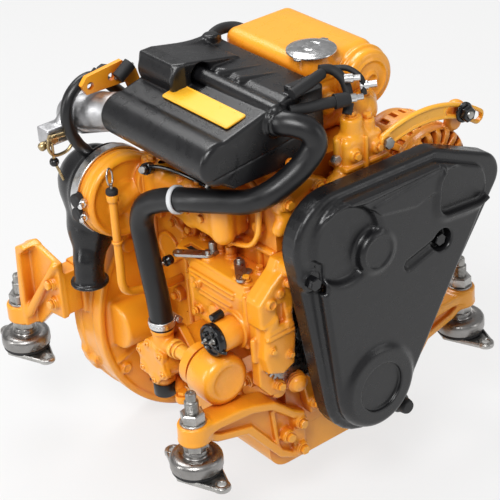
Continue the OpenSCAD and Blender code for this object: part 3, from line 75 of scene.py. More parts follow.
def ramp(nodes, links, value, stops):
    r = nodes.new("ShaderNodeValToRGB")
    while len(r.color_ramp.elements) < len(stops):
        r.color_ramp.elements.new(0.5)
    for e, (at, colour) in zip(r.color_ramp.elements, stops):
        e.position = at
        e.color = (*colour, 1)
    links.new(value, r.inputs["Fac"])
    return r.outputs["Color"]


def spread(nodes, links, value, low, high, start=0.3, end=0.7):
    n = nodes.new("ShaderNodeMapRange")
    n.inputs["From Min"].default_value = start
    n.inputs["From Max"].default_value = end
    n.inputs["To Min"].default_value = low
    n.inputs["To Max"].default_value = high
    links.new(value, n.inputs["Value"])
    return n.outputs["Result"]


def uneven(nodes, links, shader, value, low, high):
    links.new(spread(nodes, links, value, low, high), shader.inputs["Roughness"])


def mixed(nodes, links, factor, a, b):
    # Sockets 6 and 7 of the node are its two colours, and output 2 is the colour it makes
    n = nodes.new("ShaderNodeMix")
    n.data_type = "RGBA"
    links.new(factor, n.inputs[0])
    for socket, colour in ((n.inputs[6], a), (n.inputs[7], b)):
        if isinstance(colour, tuple):
            socket.default_value = (*colour, 1)
        else:
            links.new(colour, socket)
    return n.outputs[2]


def bumped(nodes, links, shader, height, strength, distance, edge=0.0, under=None):
    b = nodes.new("ShaderNodeBump")
    b.inputs["Strength"].default_value = strength
    b.inputs["Distance"].default_value = distance
    links.new(height, b.inputs["Height"])
    if under is not None:
        links.new(under, b.inputs["Normal"])
    elif edge:
        e = nodes.new("ShaderNodeBevel")
        e.samples = 4
        e.inputs["Radius"].default_value = edge
        links.new(e.outputs["Normal"], b.inputs["Normal"])
    links.new(b.outputs["Normal"], shader.inputs["Normal"])
    return b.outputs["Normal"]


# Ambient occlusion of the surface, used as the mask of painted shade in hollows and creases
def hollows(nodes, distance):
    a = nodes.new("ShaderNodeAmbientOcclusion")
    a.samples = 4
    a.inputs["Distance"].default_value = distance
    return a.outputs["AO"]


def painted_metal(name, base, painted_shade_colour, rough, grain, edge=SOFT_EDGE):
    m, nodes, links, shader, place = principled(name, base, rough, coat=0.35, coat_rough=0.22)
    broad = noise(nodes, links, place, 14, 2)
    colour = mixed(nodes, links, spread(nodes, links, broad, 0.0, 0.22), base, tuple(c * 0.86 for c in base))
    # Painted shade: the colour turns towards a deeper orange in hollows, creases and between parts, where ambient
    # occlusion finds them
    shade = spread(nodes, links, hollows(nodes, 0.03), 0.85, 0.0, 0.25, 0.95)
    links.new(mixed(nodes, links, shade, colour, painted_shade_colour), shader.inputs["Base Color"])
    uneven(nodes, links, shader, noise(nodes, links, place, 60, 3), rough - 0.06, rough + 0.10)
    casting_skin = noise(nodes, links, place, 220, 3, 0.6)
    paint_grain = noise(nodes, links, place, 900, 3, 0.7)
    under = bumped(nodes, links, shader, casting_skin, grain * 0.6, 0.0006, edge)
    bumped(nodes, links, shader, paint_grain, grain, 0.0002, 0, under)
    return m


def moulded(name, base, rough, grain, scale=1300.0):
    m, nodes, links, shader, place = principled(name, base, rough)
    broad = noise(nodes, links, place, 22, 3)
    colour = mixed(nodes, links, spread(nodes, links, broad, 0.0, 0.5), base, tuple(c * 0.7 for c in base))
    links.new(colour, shader.inputs["Base Color"])
    uneven(nodes, links, shader, noise(nodes, links, place, 90, 4), rough - 0.05, rough + 0.08)
    cells = nodes.new("ShaderNodeTexVoronoi")
    cells.inputs["Scale"].default_value = scale
    links.new(place, cells.inputs["Vector"])
    bumped(nodes, links, shader, cells.outputs["Distance"], grain, 0.00016, SOFT_EDGE)
    return m


def bare_metal(name, base, rough, grain=0.15, scale=350.0, dirt=None):
    m, nodes, links, shader, place = principled(name, base, rough, metal=1.0)
    dark = dirt or tuple(c * 0.55 for c in base)
    broad = noise(nodes, links, place, 70, 4, 0.6)
    colour = mixed(nodes, links, spread(nodes, links, broad, 0.0, 0.8, 0.35, 0.75), base, dark)
    links.new(colour, shader.inputs["Base Color"])
    uneven(nodes, links, shader, noise(nodes, links, place, 160, 4), rough - 0.07, rough + 0.14)
    bumped(nodes, links, shader, noise(nodes, links, place, scale, 4, 0.65), grain, 0.00025, SHARP_EDGE)
    return m


# The second colour of each painted metal is its painted shade, laid into hollows and creases
enamel = painted_metal("orange_enamel", (0.90, 0.36, 0.014), (0.52, 0.075, 0.005), 0.34, 0.35)
smooth_enamel = painted_metal("smooth_enamel", (0.91, 0.38, 0.016), (0.58, 0.11, 0.006), 0.28, 0.12)
yellow_enamel = painted_metal("bright_enamel", (0.91, 0.43, 0.018), (0.62, 0.14, 0.006), 0.32, 0.2)
black_plastic = moulded("black_plastic", (0.0075, 0.0075, 0.0085), 0.29, 0.30)
flat_black = moulded("flat_black", (0.008, 0.008, 0.009), 0.62, 0.3)
gloss_black = moulded("gloss_black", (0.006, 0.006, 0.007), 0.12, 0.05)
satin_black = moulded("satin_black", (0.006, 0.006, 0.007), 0.25, 0.10, 1100.0)
hose_rubber = moulded("hose_rubber", (0.0065, 0.0065, 0.0075), 0.34, 0.18, 900.0)
soft_rubber = moulded("soft_rubber", (0.014, 0.014, 0.015), 0.6, 0.3, 700.0)
alternator_paint = painted_metal("alternator_paint", (0.90, 0.37, 0.03), (0.5, 0.08, 0.006), 0.36, 0.35)
brass = bare_metal("aged_brass", (0.50, 0.38, 0.20), 0.3, 0.2)
painted_bolt = painted_metal("painted_bolt", (0.90, 0.38, 0.02), (0.52, 0.09, 0.006), 0.3, 0.2, 0.0005)
bright_pipe = painted_metal("bright_pipe", (0.93, 0.46, 0.05), (0.6, 0.14, 0.008), 0.2, 0.08, 0.0008)
badge_paint = painted_metal("badge_paint", (0.93, 0.50, 0.03), (0.75, 0.30, 0.01), 0.3, 0.05, 0.0005)
zinc = bare_metal("zinc_steel", (0.52, 0.51, 0.49), 0.3)
dull_zinc = bare_metal("dull_zinc", (0.40, 0.39, 0.37), 0.34, 0.25)
polished = bare_metal("polished_steel", (0.72, 0.72, 0.72), 0.16, 0.05)
machined = bare_metal("machined_steel", (0.50, 0.50, 0.49), 0.25)
cast_iron = bare_metal("cast_iron", (0.20, 0.19, 0.18), 0.5, 0.4, 260.0)
cast_aluminium = bare_metal("cast_aluminium", (0.56, 0.56, 0.57), 0.42, 0.35, 300.0)
dome_metal = bare_metal("dome_steel", (0.33, 0.32, 0.31), 0.3, 0.08, 260.0, dirt=(0.25, 0.24, 0.23))
silver_band = bare_metal("silver_band", (0.78, 0.78, 0.78), 0.3, 0.06, dirt=(0.62, 0.62, 0.62))
white_plastic = moulded("white_plastic", (0.62, 0.63, 0.64), 0.35, 0.1, 900.0)


# Distance fields, in millimetres: negative inside. p is the three coordinates, which broadcast against each other,
# and k is the width over which two fields blend

def rounded(d, h, r):
    a, b = d + r, h + r
    return np.minimum(np.maximum(a, b), 0) + np.sqrt(np.maximum(a, 0) ** 2 + np.maximum(b, 0) ** 2) - r


def box(p, low, high, r=0.0):
    q = [np.abs(p[i] - (low[i] + high[i]) / 2) - (high[i] - low[i]) / 2 + r for i in range(3)]
    out = np.sqrt(sum(np.maximum(c, 0) ** 2 for c in q))
    return out + np.minimum(np.maximum(np.maximum(q[0], q[1]), q[2]), 0) - r


def between(v, low, high):
    return np.abs(v - (low + high) / 2) - (high - low) / 2


def rod(p, axis, centre, low, high, radius, r=0.0):
    u, v = [p[i] for i in range(3) if i != axis]
    return rounded(np.sqrt((u - centre[0]) ** 2 + (v - centre[1]) ** 2) - radius, between(p[axis], low, high), r)


def limb(p, a, b, ra, rb=None):
    rb = ra if rb is None else rb
    d = [b[i] - a[i] for i in range(3)]
    t = np.clip(sum((p[i] - a[i]) * d[i] for i in range(3)) / sum(c * c for c in d), 0, 1)
    return np.sqrt(sum((p[i] - a[i] - t * d[i]) ** 2 for i in range(3))) - ra - (rb - ra) * t


def chain(p, points, k=4.0):
    d = None
    for (a, ra), (b, rb) in zip(points, points[1:]):
        piece = limb(p, a, b, ra, rb)
        d = piece if d is None else join(k, d, piece)
    return d


def outline(u, v, points):
    d, inside = None, False
    for (ax, ay), (bx, by) in zip(points, points[1:] + points[:1]):
        ex, ey = bx - ax, by - ay
        wx, wy = u - ax, v - ay
        t = np.clip((wx * ex + wy * ey) / (ex * ex + ey * ey), 0, 1)
        s = (wx - ex * t) ** 2 + (wy - ey * t) ** 2
        d = s if d is None else np.minimum(d, s)
        if ay != by:
            inside = inside ^ (((ay > v) != (by > v)) & (u < ex * (v - ay) / ey + ax))
    return np.where(inside, -1.0, 1.0) * np.sqrt(d)


def plate(p, axis, points, low, high, r=0.0, corner=0.0):
    u, v = [p[i] for i in range(3) if i != axis]
    return rounded(outline(u, v, points) - corner, between(p[axis], low, high), r)


def wrapped(corners, steps=8):
    # Points of the convex outline round circles [u, v, radius], counterclockwise
    out = []
    n = len(corners)

    def leave(a, b):
        return math.atan2(
            b[1] - a[1], b[0] - a[0]
        ) - math.acos((a[2] - b[2]) / math.hypot(b[0] - a[0], b[1] - a[1]))
    for i in range(n):
        before, here, after = corners[i - 1], corners[i], corners[(i + 1) % n]
        start = leave(before, here)
        span = (leave(here, after) - start) % (2 * math.pi)
        for k in range(steps + 1):
            a = start + span * k / steps
            out.append((here[0] + here[2] * math.cos(a), here[1] + here[2] * math.sin(a)))
    return out


def join(k, *fields):
    d = fields[0]
    for f in fields[1:]:
        if k:
            h = np.maximum(k - np.abs(d - f), 0) / k
            d = np.minimum(d, f) - h * h * k / 4
        else:
            d = np.minimum(d, f)
    return d


def cut(k, d, *holes):
    for h in holes:
        d = -join(k, -d, h)
    return d


def both(k, a, b):
    return -join(k, -a, -b)


def rods(k, d, p, axis, places, low, high, radius, r=0.0):
    # The field d with the same rod joined to it at each place
    for place in places:
        d = join(k, d, rod(p, axis, place, low, high, radius, r))
    return d


def mirrored(f):
    return lambda p: f((-p[X], p[Y], p[Z]))


# Meshing of a field: one vertex in each cell that the surface crosses

SLAB_VALUES = 1500000


def field_mesh(f, low, high, step):
    axes = [np.arange(low[i] - 1.5 * step, high[i] + 2.5 * step, step, dtype=np.float32) for i in range(3)]
    n = [len(a) for a in axes]
    values = np.empty(n, np.float32)
    slab = max(1, int(SLAB_VALUES / (n[1] * n[2])))
    for s in range(0, n[0], slab):
        xs = axes[0][s:s + slab]
        values[s:s + slab] = f((xs[:, None, None], axes[1][None, :, None], axes[2][None, None, :]))
    inside = values < 0
    count = sum(
        inside[i:n[0] - 1 + i, j:n[1] - 1 + j, k:n[2] - 1 + k].astype(np.int8)
        for i in (0, 1) for j in (0, 1) for k in (0, 1)
    )
    active = (count > 0) & (count < 8)
    cells = np.argwhere(active)
    index = np.full(active.shape, -1, np.int64)
    index[active] = np.arange(len(cells))
    total = np.zeros((len(cells), 3))
    hits = np.zeros(len(cells))
    for axis in range(3):
        others = [i for i in range(3) if i != axis]
        for a in (0, 1):
            for b in (0, 1):
                start = cells.copy()
                start[:, others[0]] += a
                start[:, others[1]] += b
                end = start.copy()
                end[:, axis] += 1
                fa, fb = values[tuple(start.T)], values[tuple(end.T)]
                crossing = (fa < 0) != (fb < 0)
                t = np.where(crossing, fa / np.where(crossing, fa - fb, 1), 0)
                where = (start - cells).astype(float)
                where[:, axis] += t
                total[crossing] += where[crossing]
                hits[crossing] += 1
    origin = np.array([a[0] for a in axes])
    verts = origin + (cells + total / hits[:, None]) * step
    # Each vertex is moved onto the surface along the slope of the field, by half a cell at most
    e = 0.25 * step
    shifts = np.eye(3) * e
    for _ in range(2):
        d = f(tuple(verts.T)).astype(float)
        grad = np.stack([(f(tuple((verts + o).T)) - f(tuple((verts - o).T))) / (2 * e) for o in shifts], axis=1)
        size = np.maximum((grad ** 2).sum(axis=1), 0.3)
        move = -(d / size)[:, None] * grad
        reach = np.maximum(np.abs(move).max(axis=1), 1e-9)
        verts = verts + move * np.minimum(1, 0.5 * step / reach)[:, None]
    faces = []
    for axis in range(3):
        o1, o2 = [i for i in range(3) if i != axis]
        low_side = np.take(inside, range(n[axis] - 1), axis=axis)
        high_side = np.take(inside, range(1, n[axis]), axis=axis)
        edges = np.argwhere(low_side != high_side)
        keep = (edges[:, o1] > 0) & (edges[:, o2] > 0) & (edges[:, o1] < n[o1] - 1) & (edges[:, o2] < n[o2] - 1)
        edges = edges[keep]
        corners = []
        for a, b in ((1, 1), (0, 1), (0, 0), (1, 0)):
            c = edges.copy()
            c[:, o1] -= a
            c[:, o2] -= b
            corners.append(index[tuple(c.T)])
        quad = np.stack(corners, axis=1)
        out = inside[tuple(edges.T)]
        flip = out if axis == 1 else ~out
        quad[flip] = quad[flip][:, ::-1]
        faces.append(quad)
    return verts, np.concatenate(faces)


def new_object(name, verts, faces, material, smooth=180.0):
    mesh = bpy.data.meshes.new(name)
    if isinstance(faces, np.ndarray):
        mesh.vertices.add(len(verts))
        mesh.vertices.foreach_set("co", (np.asarray(verts) * MM).astype(np.float32).ravel())
        mesh.loops.add(faces.size)
        mesh.loops.foreach_set("vertex_index", faces.astype(np.int32).ravel())
        mesh.polygons.add(len(faces))
        mesh.polygons.foreach_set("loop_start", np.arange(0, faces.size, faces.shape[1], dtype=np.int32))
        mesh.update(calc_edges=True)
        mesh.validate()
    else:
        mesh.from_pydata([tuple(c * MM for c in v) for v in verts], [], faces)
    mesh.polygons.foreach_set("use_smooth", [True] * len(mesh.polygons))
    if smooth < 180:
        mesh.set_sharp_from_angle(angle=math.radians(smooth))
    mesh.materials.append(material)
    o = bpy.data.objects.new(name, mesh)
    bpy.context.scene.collection.objects.link(o)
    return o


def place_piece(o, body, nodes=()):
    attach(o, body)
    if nodes:
        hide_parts(*nodes)
    return o


def casting(name, f, low, high, step, material, nodes=(), body="engine"):
    verts, faces = field_mesh(f, low, high, step)
    return place_piece(new_object(name, verts, faces, material), body, nodes)


def both_sides(name, f, low, high, step, material, left_nodes, right_nodes=()):
    # The left casting as its field has it, and the right one as its mirror image
    casting(name + "_left", f, low, high, step, material, left_nodes)
    casting(
        name + "_right", mirrored(f), (-high[X], *low[1:]), (-low[X], *high[1:]), step, material, right_nodes
    )


# Plain mesh parts, gathered into one piece

class Kit:
    def __init__(self, name, material, slot, body="engine", nodes=(), smooth=38.0):
        self.name, self.material, self.slot = name, material, slot
        self.body, self.nodes, self.smooth = body, nodes, smooth
        self.verts, self.faces = [], []

    def put(self, part, place=(0, 0, 0), towards=UP, turn=0.0):
        verts, faces = part
        tilt = Vector(UP).rotation_difference(Vector(towards)).to_matrix().to_4x4()
        m = Matrix.Translation(place) @ tilt @ Matrix.Rotation(math.radians(turn), 4, "Z")
        start = len(self.verts)
        self.verts += [tuple(m @ Vector(v)) for v in verts]
        self.faces += [tuple(start + i for i in f) for f in faces]

    def done(self):
        o = new_object(self.name, self.verts, self.faces, self.material, self.smooth)
        return place_piece(o, self.body, self.nodes)


def polar(degrees, radius=1.0):
    a = math.radians(degrees)
    return radius * math.cos(a), radius * math.sin(a)


def around(centre, radius, angles):
    return [(centre[0] + u, centre[1] + v) for u, v in (polar(a, radius) for a in angles)]


def at_y(place, y):
    return place[0], y, place[1]


def turned(profile, sides=40):
    # Solid of revolution about Z from points [radius, height], closed at the axis
    verts, faces, rings = [], [], []
    for r, z in profile:
        if r < 1e-6:
            rings.append([len(verts)])
            verts.append((0, 0, z))
        else:
            rings.append(list(range(len(verts), len(verts) + sides)))
            angles = [2 * math.pi * k / sides for k in range(sides)]
            verts += [(r * math.cos(a), r * math.sin(a), z) for a in angles]
    for a, b in zip(rings, rings[1:]):
        for k in range(sides):
            m = (k + 1) % sides
            if len(a) == 1 and len(b) > 1:
                faces.append((a[0], b[m], b[k]))
            elif len(b) == 1 and len(a) > 1:
                faces.append((a[k], a[m], b[0]))
            elif len(a) > 1:
                faces.append((a[k], a[m], b[m], b[k]))
    return verts, faces


def solid(profile, sides=40):
    # A turned part with flat ends, whose profile leaves out its two points on the axis
    return turned([(0, profile[0][1]), *profile, (0, profile[-1][1])], sides)


def ring_part(outer, inner, height, chamfer=0.6, sides=48):
    c = chamfer
    below = [(inner, c), (inner + c, 0), (outer - c, 0), (outer, c)]
    above = [(outer, height - c), (outer - c, height), (inner + c, height), (inner, height - c)]
    return turned(below + above + below[:1], sides)


def hexagon(r, height, chamfer=1.0):
    verts, faces = [], []
    levels = [(0.93 * r, 0), (r, chamfer * 0.6), (r, height - chamfer), (0.88 * r, height)]
    for radius, z in levels:
        verts += [(radius * math.cos(math.pi * k / 3), radius * math.sin(math.pi * k / 3), z) for k in range(6)]
    for s in range(len(levels) - 1):
        faces += [(6 * s + k, 6 * s + (k + 1) % 6, 6 * s + 6 + (k + 1) % 6, 6 * s + 6 + k) for k in range(6)]
    faces += [tuple(range(5, -1, -1)), tuple(range(18, 24))]
    return verts, faces


def hex_bolt(kit, place, towards, r=6.5, height=5.5, washer=8.5, turn=17.0):
    kit.put(turned([(0, 0), (washer, 0), (washer, 1.2), (washer - 0.6, 1.7), (0, 1.7)], 28), place, towards)
    kit.put(hexagon(r, height), Vector(place) + Vector(towards).normalized() * 1.6, towards, turn)


def smooth_path(points, per=8):
    pts = [Vector(p) for p in points]
    pts = [pts[0] * 2 - pts[1]] + pts + [pts[-1] * 2 - pts[-2]]
    out = []
    for i in range(1, len(pts) - 2):
        a, b, c, d = pts[i - 1:i + 3]
        for k in range(per):
            t = k / per
            square, cube = 2 * a - 5 * b + 4 * c - d, 3 * b - 3 * c + d - a
            out.append(0.5 * ((2 * b) + (c - a) * t + square * t * t + cube * t ** 3))
    return out + [pts[-2]]


def pipe(path, radius, sides=20):
    # Tube along a path; radius is a number or one for each point
    radii = radius if isinstance(radius, (list, tuple)) else [radius] * len(path)
    path = [Vector(p) for p in path]
    verts, faces = [], []
    side = None
    for i, p in enumerate(path):
        ahead = (path[min(i + 1, len(path) - 1)] - path[max(i - 1, 0)]).normalized()
        if side is None:
            side = ahead.orthogonal().normalized()
        side = (side - ahead * side.dot(ahead)).normalized()
        up = ahead.cross(side)
        for k in range(sides):
            a = 2 * math.pi * k / sides
            verts.append(tuple(p + radii[i] * (side * math.cos(a) + up * math.sin(a))))
    for i in range(len(path) - 1):
        for k in range(sides):
            m = (k + 1) % sides
            faces.append((i * sides + k, i * sides + m, (i + 1) * sides + m, (i + 1) * sides + k))
    faces += [tuple(range(sides - 1, -1, -1)), tuple((len(path) - 1) * sides + k for k in range(sides))]
    return verts, faces


def threaded(r, height, pitch=2.0, chamfer=1.5, sides=32):
    # A stud whose thread is a row of fine grooves
    points = [(0, 0), (r, 0)]
    z = 0.0
    while z + pitch < height - chamfer:
        points += [(r, z + pitch * 0.3), (r - pitch * 0.3, z + pitch * 0.55), (r, z + pitch * 0.8)]
        z += pitch
    return turned(points + [(r, height - chamfer), (r - chamfer, height), (0, height)], sides)


# Belt cover: two stepped shells with bosses, dishes, a slot and a ridge along the top

left_bolt, right_bolt, knob_place = (-80, 164), (101, 145), (47, -55)
dish = (-36, 194)
grille = (4, 171)
groove = ((50, -366, 135), (98, -366, 148))
cover_shell = wrapped([(0, 0, 63), (176, 191, 28), (102, 221, 30), (-40, 197, 57)], 10)
cover_face = wrapped([(0, 4, 55), (150, 190, 26), (92, 212, 30), (-30, 197, 48)], 10)
recess_line = wrapped([(112, 192, 16), (158, 190, 18), (164, 204, 18), (114, 213, 16)], 8)


def cover_field(p):
    x, y, z = p
    shell = rounded(outline(x, z, cover_shell), between(y, -350, -323), 6)
    face = rounded(outline(x, z, cover_face), between(y, -364, -335), 6)
    d = join(5, shell, face)
    ridge = plate(p, Y, [(-30, 236), (96, 239), (98, 243), (84, 246), (-36, 246)], -366.5, -350, 2)
    d = join(4, d, both(2, ridge, rounded(outline(x, z, cover_face) + 1.5, between(y, -368, -340), 2)))
    chevron = plate(p, Y, [(-4, 226), (98, 236), (92, 212), (60, 205), (10, 214)], -366, -352, 1.5)
    d = join(3, d, chevron)
    d = join(7, d, rod(p, Y, (0, 0), -370, -355, 50, 7))
    d = cut(1.5, d, rod(p, Y, (0, 0), -380, -366, 30, 1.2))
    d = cut(9, d, rod(p, Y, dish, -385, -354.5, 43, 5))
    d = join(5, d, rod(p, Y, grille, -367, -345, 25, 6))
    d = cut(1.5, d, rod(p, Y, grille, -375, -365.2, 18.5, 1.5))
    rim = rounded(outline(x, z, recess_line) - 7, between(y, -368, -350), 6)
    rim = both(
        4, rim, plate(p, Y, [(60, 150), (150, 166), (176, 172), (116, 206), (104, 236), (70, 226)], -380, -340, 3)
    )
    d = join(6, d, rim)
    d = cut(4, d, rounded(outline(x, z, recess_line), between(y, -385, -357), 4))
    d = cut(3, d, limb(p, *groove, 7, 7))
    d = cut(3, d, rod(p, Y, (101, 146), -380, -351, 13.5, 3))
    d = cut(4, d, plate(p, Y, [(-110, 150), (-69, 150), (-67, 178), (-75, 184), (-110, 184)], -380, -351, 2, 2))
    d = join(4, d, rod(p, Y, left_bolt, -353, -335, 12, 3))
    d = join(4, d, rod(p, Y, knob_place, -351, -335, 12, 3))
    inner = rounded(outline(x, z, cover_shell) + 4, between(y, -345, -300), 3)
    d = cut(0, d, inner)
    core = rounded(outline(x, z, cover_face) + 4, between(y, -359, -340), 3)
    core = cut(
        0, core, rod(p, Y, dish, -385, -350, 48), rod(p, Y, left_bolt, -370, -340, 16), limb(p, *groove, 11),
        rod(p, Y, (101, 146), -380, -347, 17)
    )
    core = cut(0, core, rounded(outline(x, z, recess_line) - 4, between(y, -385, -353), 1))
    return cut(0, d, core)


casting(
    "belt_cover_shell", cover_field, (-98, -370, -64), (205, -323, 255), 1.35, black_plastic,
    ["belt_cover"]
)

bolts = Kit("cover_bolt_heads", gloss_black, "zinc_steel", nodes=["cover_bolts"])
for x, z in (left_bolt, right_bolt):
    bolts.put(solid([(11, 0), (11, 1.4), (10.4, 2)]), (x, -351, z), FRONT)
    bolts.put(hexagon(8, 8, 1.2), (x, -353, z), FRONT, 12)
bolts.done()
knob = Kit("cover_knob", soft_rubber, "rubber")
knob.put(
    turned([(0, 0), (9, 0), (9.5, 3), (8.6, 9), (7.6, 11), (3, 11.6), (0, 11.4)]), at_y(knob_place, -351), FRONT
)
knob.done()


# Air silencer: roll along its left, slanted panel with the badge, slim ridge, hood and two wedges behind it

silencer_front, silencer_rear = -281, -96
roll_middle = (-131, 296)
silencer_line = [
    (8, 260), (8, 340), (-46, 342), (-62, 336),
    *around(roll_middle, 23, range(84, 214, 8)), (-118, 262)
]


def silencer_field(p):
    x, y, z = p
    d = rounded(outline(x, z, silencer_line), between(y, silencer_front, silencer_rear), 4)
    roll = rod(p, Y, (-133, 296), silencer_front, silencer_rear, 24.6, 6)
    d = join(1.2, d, roll)
    d = cut(2.5, d, limb(p, (-50, -400, 347), (-50, -178, 347), 8))
    hood = plate(p, Z, [(-98, -97), (-98, -156), (-86, -164), (-12, -164), (-15, -97)], 326, 362, 4)
    hood = join(5, hood, rod(p, Y, (-85, 338), -162, -98, 19, 4))
    d = join(2, d, both(3, hood, z - 357.5 + 0.2 * np.maximum(x + 82, 0)))
    d = cut(2, d, rod(p, Y, (-66, 339), -180, -152, 13, 3))
    d = join(2, d, limb(p, (-60, -282, 333), (-65, -130, 338), 8.4))
    for wedge in (((-56, -183, 339.5), (-8, -195, 339.5)), ((-50, -211, 339.5), (-8, -223, 339.5))):
        d = join(1, d, limb(p, *wedge, 6.4, 1.4))
    for length, r, soft in ((8, 15.4, 2), (3, 17.4, 1.5)):
        d = join(1.5, d, rod(p, Y, (-58, 320), silencer_front - length, silencer_front + 5, r, soft))
    d = join(3, d, box(p, (-36, -279, 336), (6, -267, 350), 2.5))
    d = join(3, d, box(p, (-60, -112, 330), (6, -98, 349), 4), rod(p, Z, (-8, -108), 330, 352, 9, 3))
    seam = np.maximum(np.abs(z - 290 - 0.1 * (x + 60)) - 0.7, -(d + 0.8))
    return cut(0.5, d, seam)


casting(
    "silencer_body", silencer_field, (-159, -290, 258), (10, -94, 361), 1.4, black_plastic,
    ["air_silencer"]
)

badge_at = (-98.5, -209.5, 327.9)
badge_half, badge_corner = (14, 56.5), 3
panel_lean = (0.9806, 0.1961)


def badge_field(p):
    # A plain plate with a raised rim, tilted as the panel is
    x, y, z = (p[i] - badge_at[i] for i in range(3))
    along = x * panel_lean[0] + z * panel_lean[1]
    above = z * panel_lean[0] - x * panel_lean[1]
    flat = rounded(np.abs(along) - badge_half[0], np.abs(y) - badge_half[1], badge_corner)
    return np.minimum(
        np.maximum(flat, np.abs(above) - 0.7), np.maximum(np.abs(flat + 0.9) - 0.7, np.abs(above) - 1.3)
    )


casting(
    "badge_label", badge_field, (-115, -268, 320), (-82, -151, 334), 0.7, badge_paint,
    ["badge_plate"]
)


# Raw water hose and its clamps. The hose leaves the pump upwards at the outlet

pump_outlet = (-150, -167)
hose_r = 13.5
hose_points = [
    (*pump_outlet, 54), (*pump_outlet, 66), (-151, -165, 95), (-152, -160, 125), (-151, -152, 158),
    (-150, -147, 184), (-148, -156, 206), (-142, -176, 218), (-136, -200, 226), (-128, -226, 232),
    (-116, -252, 236), (-102, -278, 240), (-88, -296, 250), (-68, -307, 264), (-49, -314, 281), (-38, -318, 299),
    (-41, -314, 314), (-50, -303, 320), (-57, -292, 321), (-58, -280, 321)
]
hose = Kit("raw_water_hose_tube", hose_rubber, "rubber", nodes=["raw_water_hose"], smooth=60)
hose.put(pipe(smooth_path(hose_points, 6), hose_r, 28))
hose.done()

clamps = Kit("worm_clamp", silver_band, "zinc_steel", nodes=["hose_clamps"])
clamps.put(ring_part(15.2, 13.6, 9, 0.4), (*pump_outlet, 57))
bead = turned([(0, 0), (0.9, 0), (0.9, 0.5), (0, 0.6)], 8)
for k in range(16):
    c, s = polar(110 + 9 * k)
    clamps.put(bead, (pump_outlet[0] + 15.1 * c, pump_outlet[1] + 15.1 * s, 61.5), (c, s, 0))
clamps.put(solid([(4, 0), (4, 13)], 20), (-133, -174, 61.5), BACK)
clamps.put(hexagon(4.4, 4), (-133, -176, 61.5), FRONT)
clamps.done()
tie = Kit("hose_tie", white_plastic, "zinc_steel")
tie_way = Vector(hose_points[9]) - Vector(hose_points[7])
tie.put(ring_part(16, 13.7, 6, 0.5), Vector(hose_points[8]) - tie_way.normalized() * 3, tie_way)
tie.done()
strap = Kit("hose_strap", dull_zinc, "zinc_steel")
strap.put(pipe(smooth_path([(-118, -232, 246), (-112, -234, 262), (-108, -234, 276)], 4), 3.2, 10))
strap.done()


# Exhaust: drum, clamp band and the black elbow, which stops short of the flywheel housing

housing_r = 165
drum_middle = (-133, 188)
tail_pipe = (-174, -62)


def drum_field(p):
    d = rod(p, Y, drum_middle, -96, -66, 50, 6)
    d = cut(4, d, cut(3, rod(p, Y, drum_middle, -112, -92.5, 42, 3), rod(p, Y, drum_middle, -122, -85, 20, 4)))
    d = join(5, d, rod(p, Y, (-98, 202), -102, -70, 22, 3))
    d = join(6, d, limb(p, (-98, -94, 204), (-146, -92, 178), 9))
    for end in ((-154, -90, 212), (-126, -90, 146)):
        d = join(6, d, limb(p, (-133, -92, 190), end, 5))
    return join(2, d, rod(p, Y, drum_middle, -84, -78, 51.5, 2))


casting(
    "exhaust_drum_casting", drum_field, (-188, -104, 133), (-74, -64, 242), 1.5, enamel, ["exhaust_drum"]
)


def elbow_field(p):
    d = rod(p, Y, drum_middle, -70, -52, 50.4, 3)
    d = join(10, d, limb(p, (-135, -50, 188), (-137, -40, 189), 47, 43))
    d = join(7, d, chain(p, [
        ((-137, -42, 188), 42), ((-154, -48, 140), 27.5), ((-171, -60, 106), 16.4), ((*tail_pipe, 88), 15.4),
        ((*tail_pipe, 80), 15.6)
    ], 8))
    d = join(2, d, rod(p, Z, tail_pipe, 78, 82.5, 22.5, 2), rod(p, Z, tail_pipe, 80, 86, 18, 2))
    d = cut(1, d, rod(p, Z, tail_pipe, 60, 96, 12.5))
    return cut(1, d, rod(p, Y, (0, 0), -53.3, 10, housing_r + 0.4))


casting(
    "exhaust_elbow_moulding", elbow_field, (-198, -92, 76), (-80, 12, 242), 1.6, satin_black,
    ["exhaust_elbow"]
)

band = Kit("elbow_band", silver_band, "zinc_steel", nodes=["elbow_clamp"])
band.put(ring_part(53.4, 50.5, 12, 0.6, 96), at_y(drum_middle, -73), BACK)
clamp_way = (-0.8, -0.6, 0)
for z in (180, 197):
    band.put(hexagon(5, 7, 1.6), (-182, -84, z), clamp_way)
    band.put(solid([(3, 0), (3, 9), (2.4, 10)], 20), (-186, -87, z), clamp_way)
band.done()


def block_field(p):
    d = join(2, *(rod(p, X, (-77, w), -192, -172, 8.5, 3) for w in (197, 180)))
    return cut(1, d, rod(p, Y, drum_middle, -95, -60, 51))


casting("elbow_band_block", block_field, (-194, -90, 168), (-171, -64, 210), 1.2, soft_rubber)


# Header tank with the heat exchanger, and its pressure cap

exchanger = (88, 314)
neck = (34, -232)


def tank_field(p):
    x, y, z = p
    body = box(p, (14, -249, 260), (112, -100, 350), 13)
    d = body
    d = join(6, d, rod(p, Y, exchanger, -266, -120, 33, 6))
    d = join(2, d, rod(p, Y, exchanger, -255, -248, 36, 2.5))
    d = join(3, d, rod(p, Y, exchanger, -269, -260, 9, 2))
    d = cut(1, d, rod(p, Y, exchanger, -275, -267, 5.5, 0.5))
    d = join(6, d, rod(p, Z, neck, 330, 356, 21, 3))
    d = join(5, d, rod(p, Y, (34, 300), -259, -240, 14, 4))
    u, w = x - exchanger[0], z - exchanger[1]
    d = join(1.5, d, np.sqrt((np.sqrt(u ** 2 + w ** 2) - 22) ** 2 + (y + 266) ** 2) - 1.6)
    d = join(2.5, d, np.maximum(np.abs(z - 326) - 1.6, np.abs(body) - 1.2))
    d = rods(3, d, p, Y, ((24, 268), (62, 268), (102, 268)), -253, -243, 7, 2)
    return cut(0.5, d, rod(p, Z, neck, 350, 370, 15, 0.5))


casting(
    "header_tank_casting", tank_field, (12, -271, 258), (123, -98, 357), 1.6, smooth_enamel,
    ["header_tank"]
)

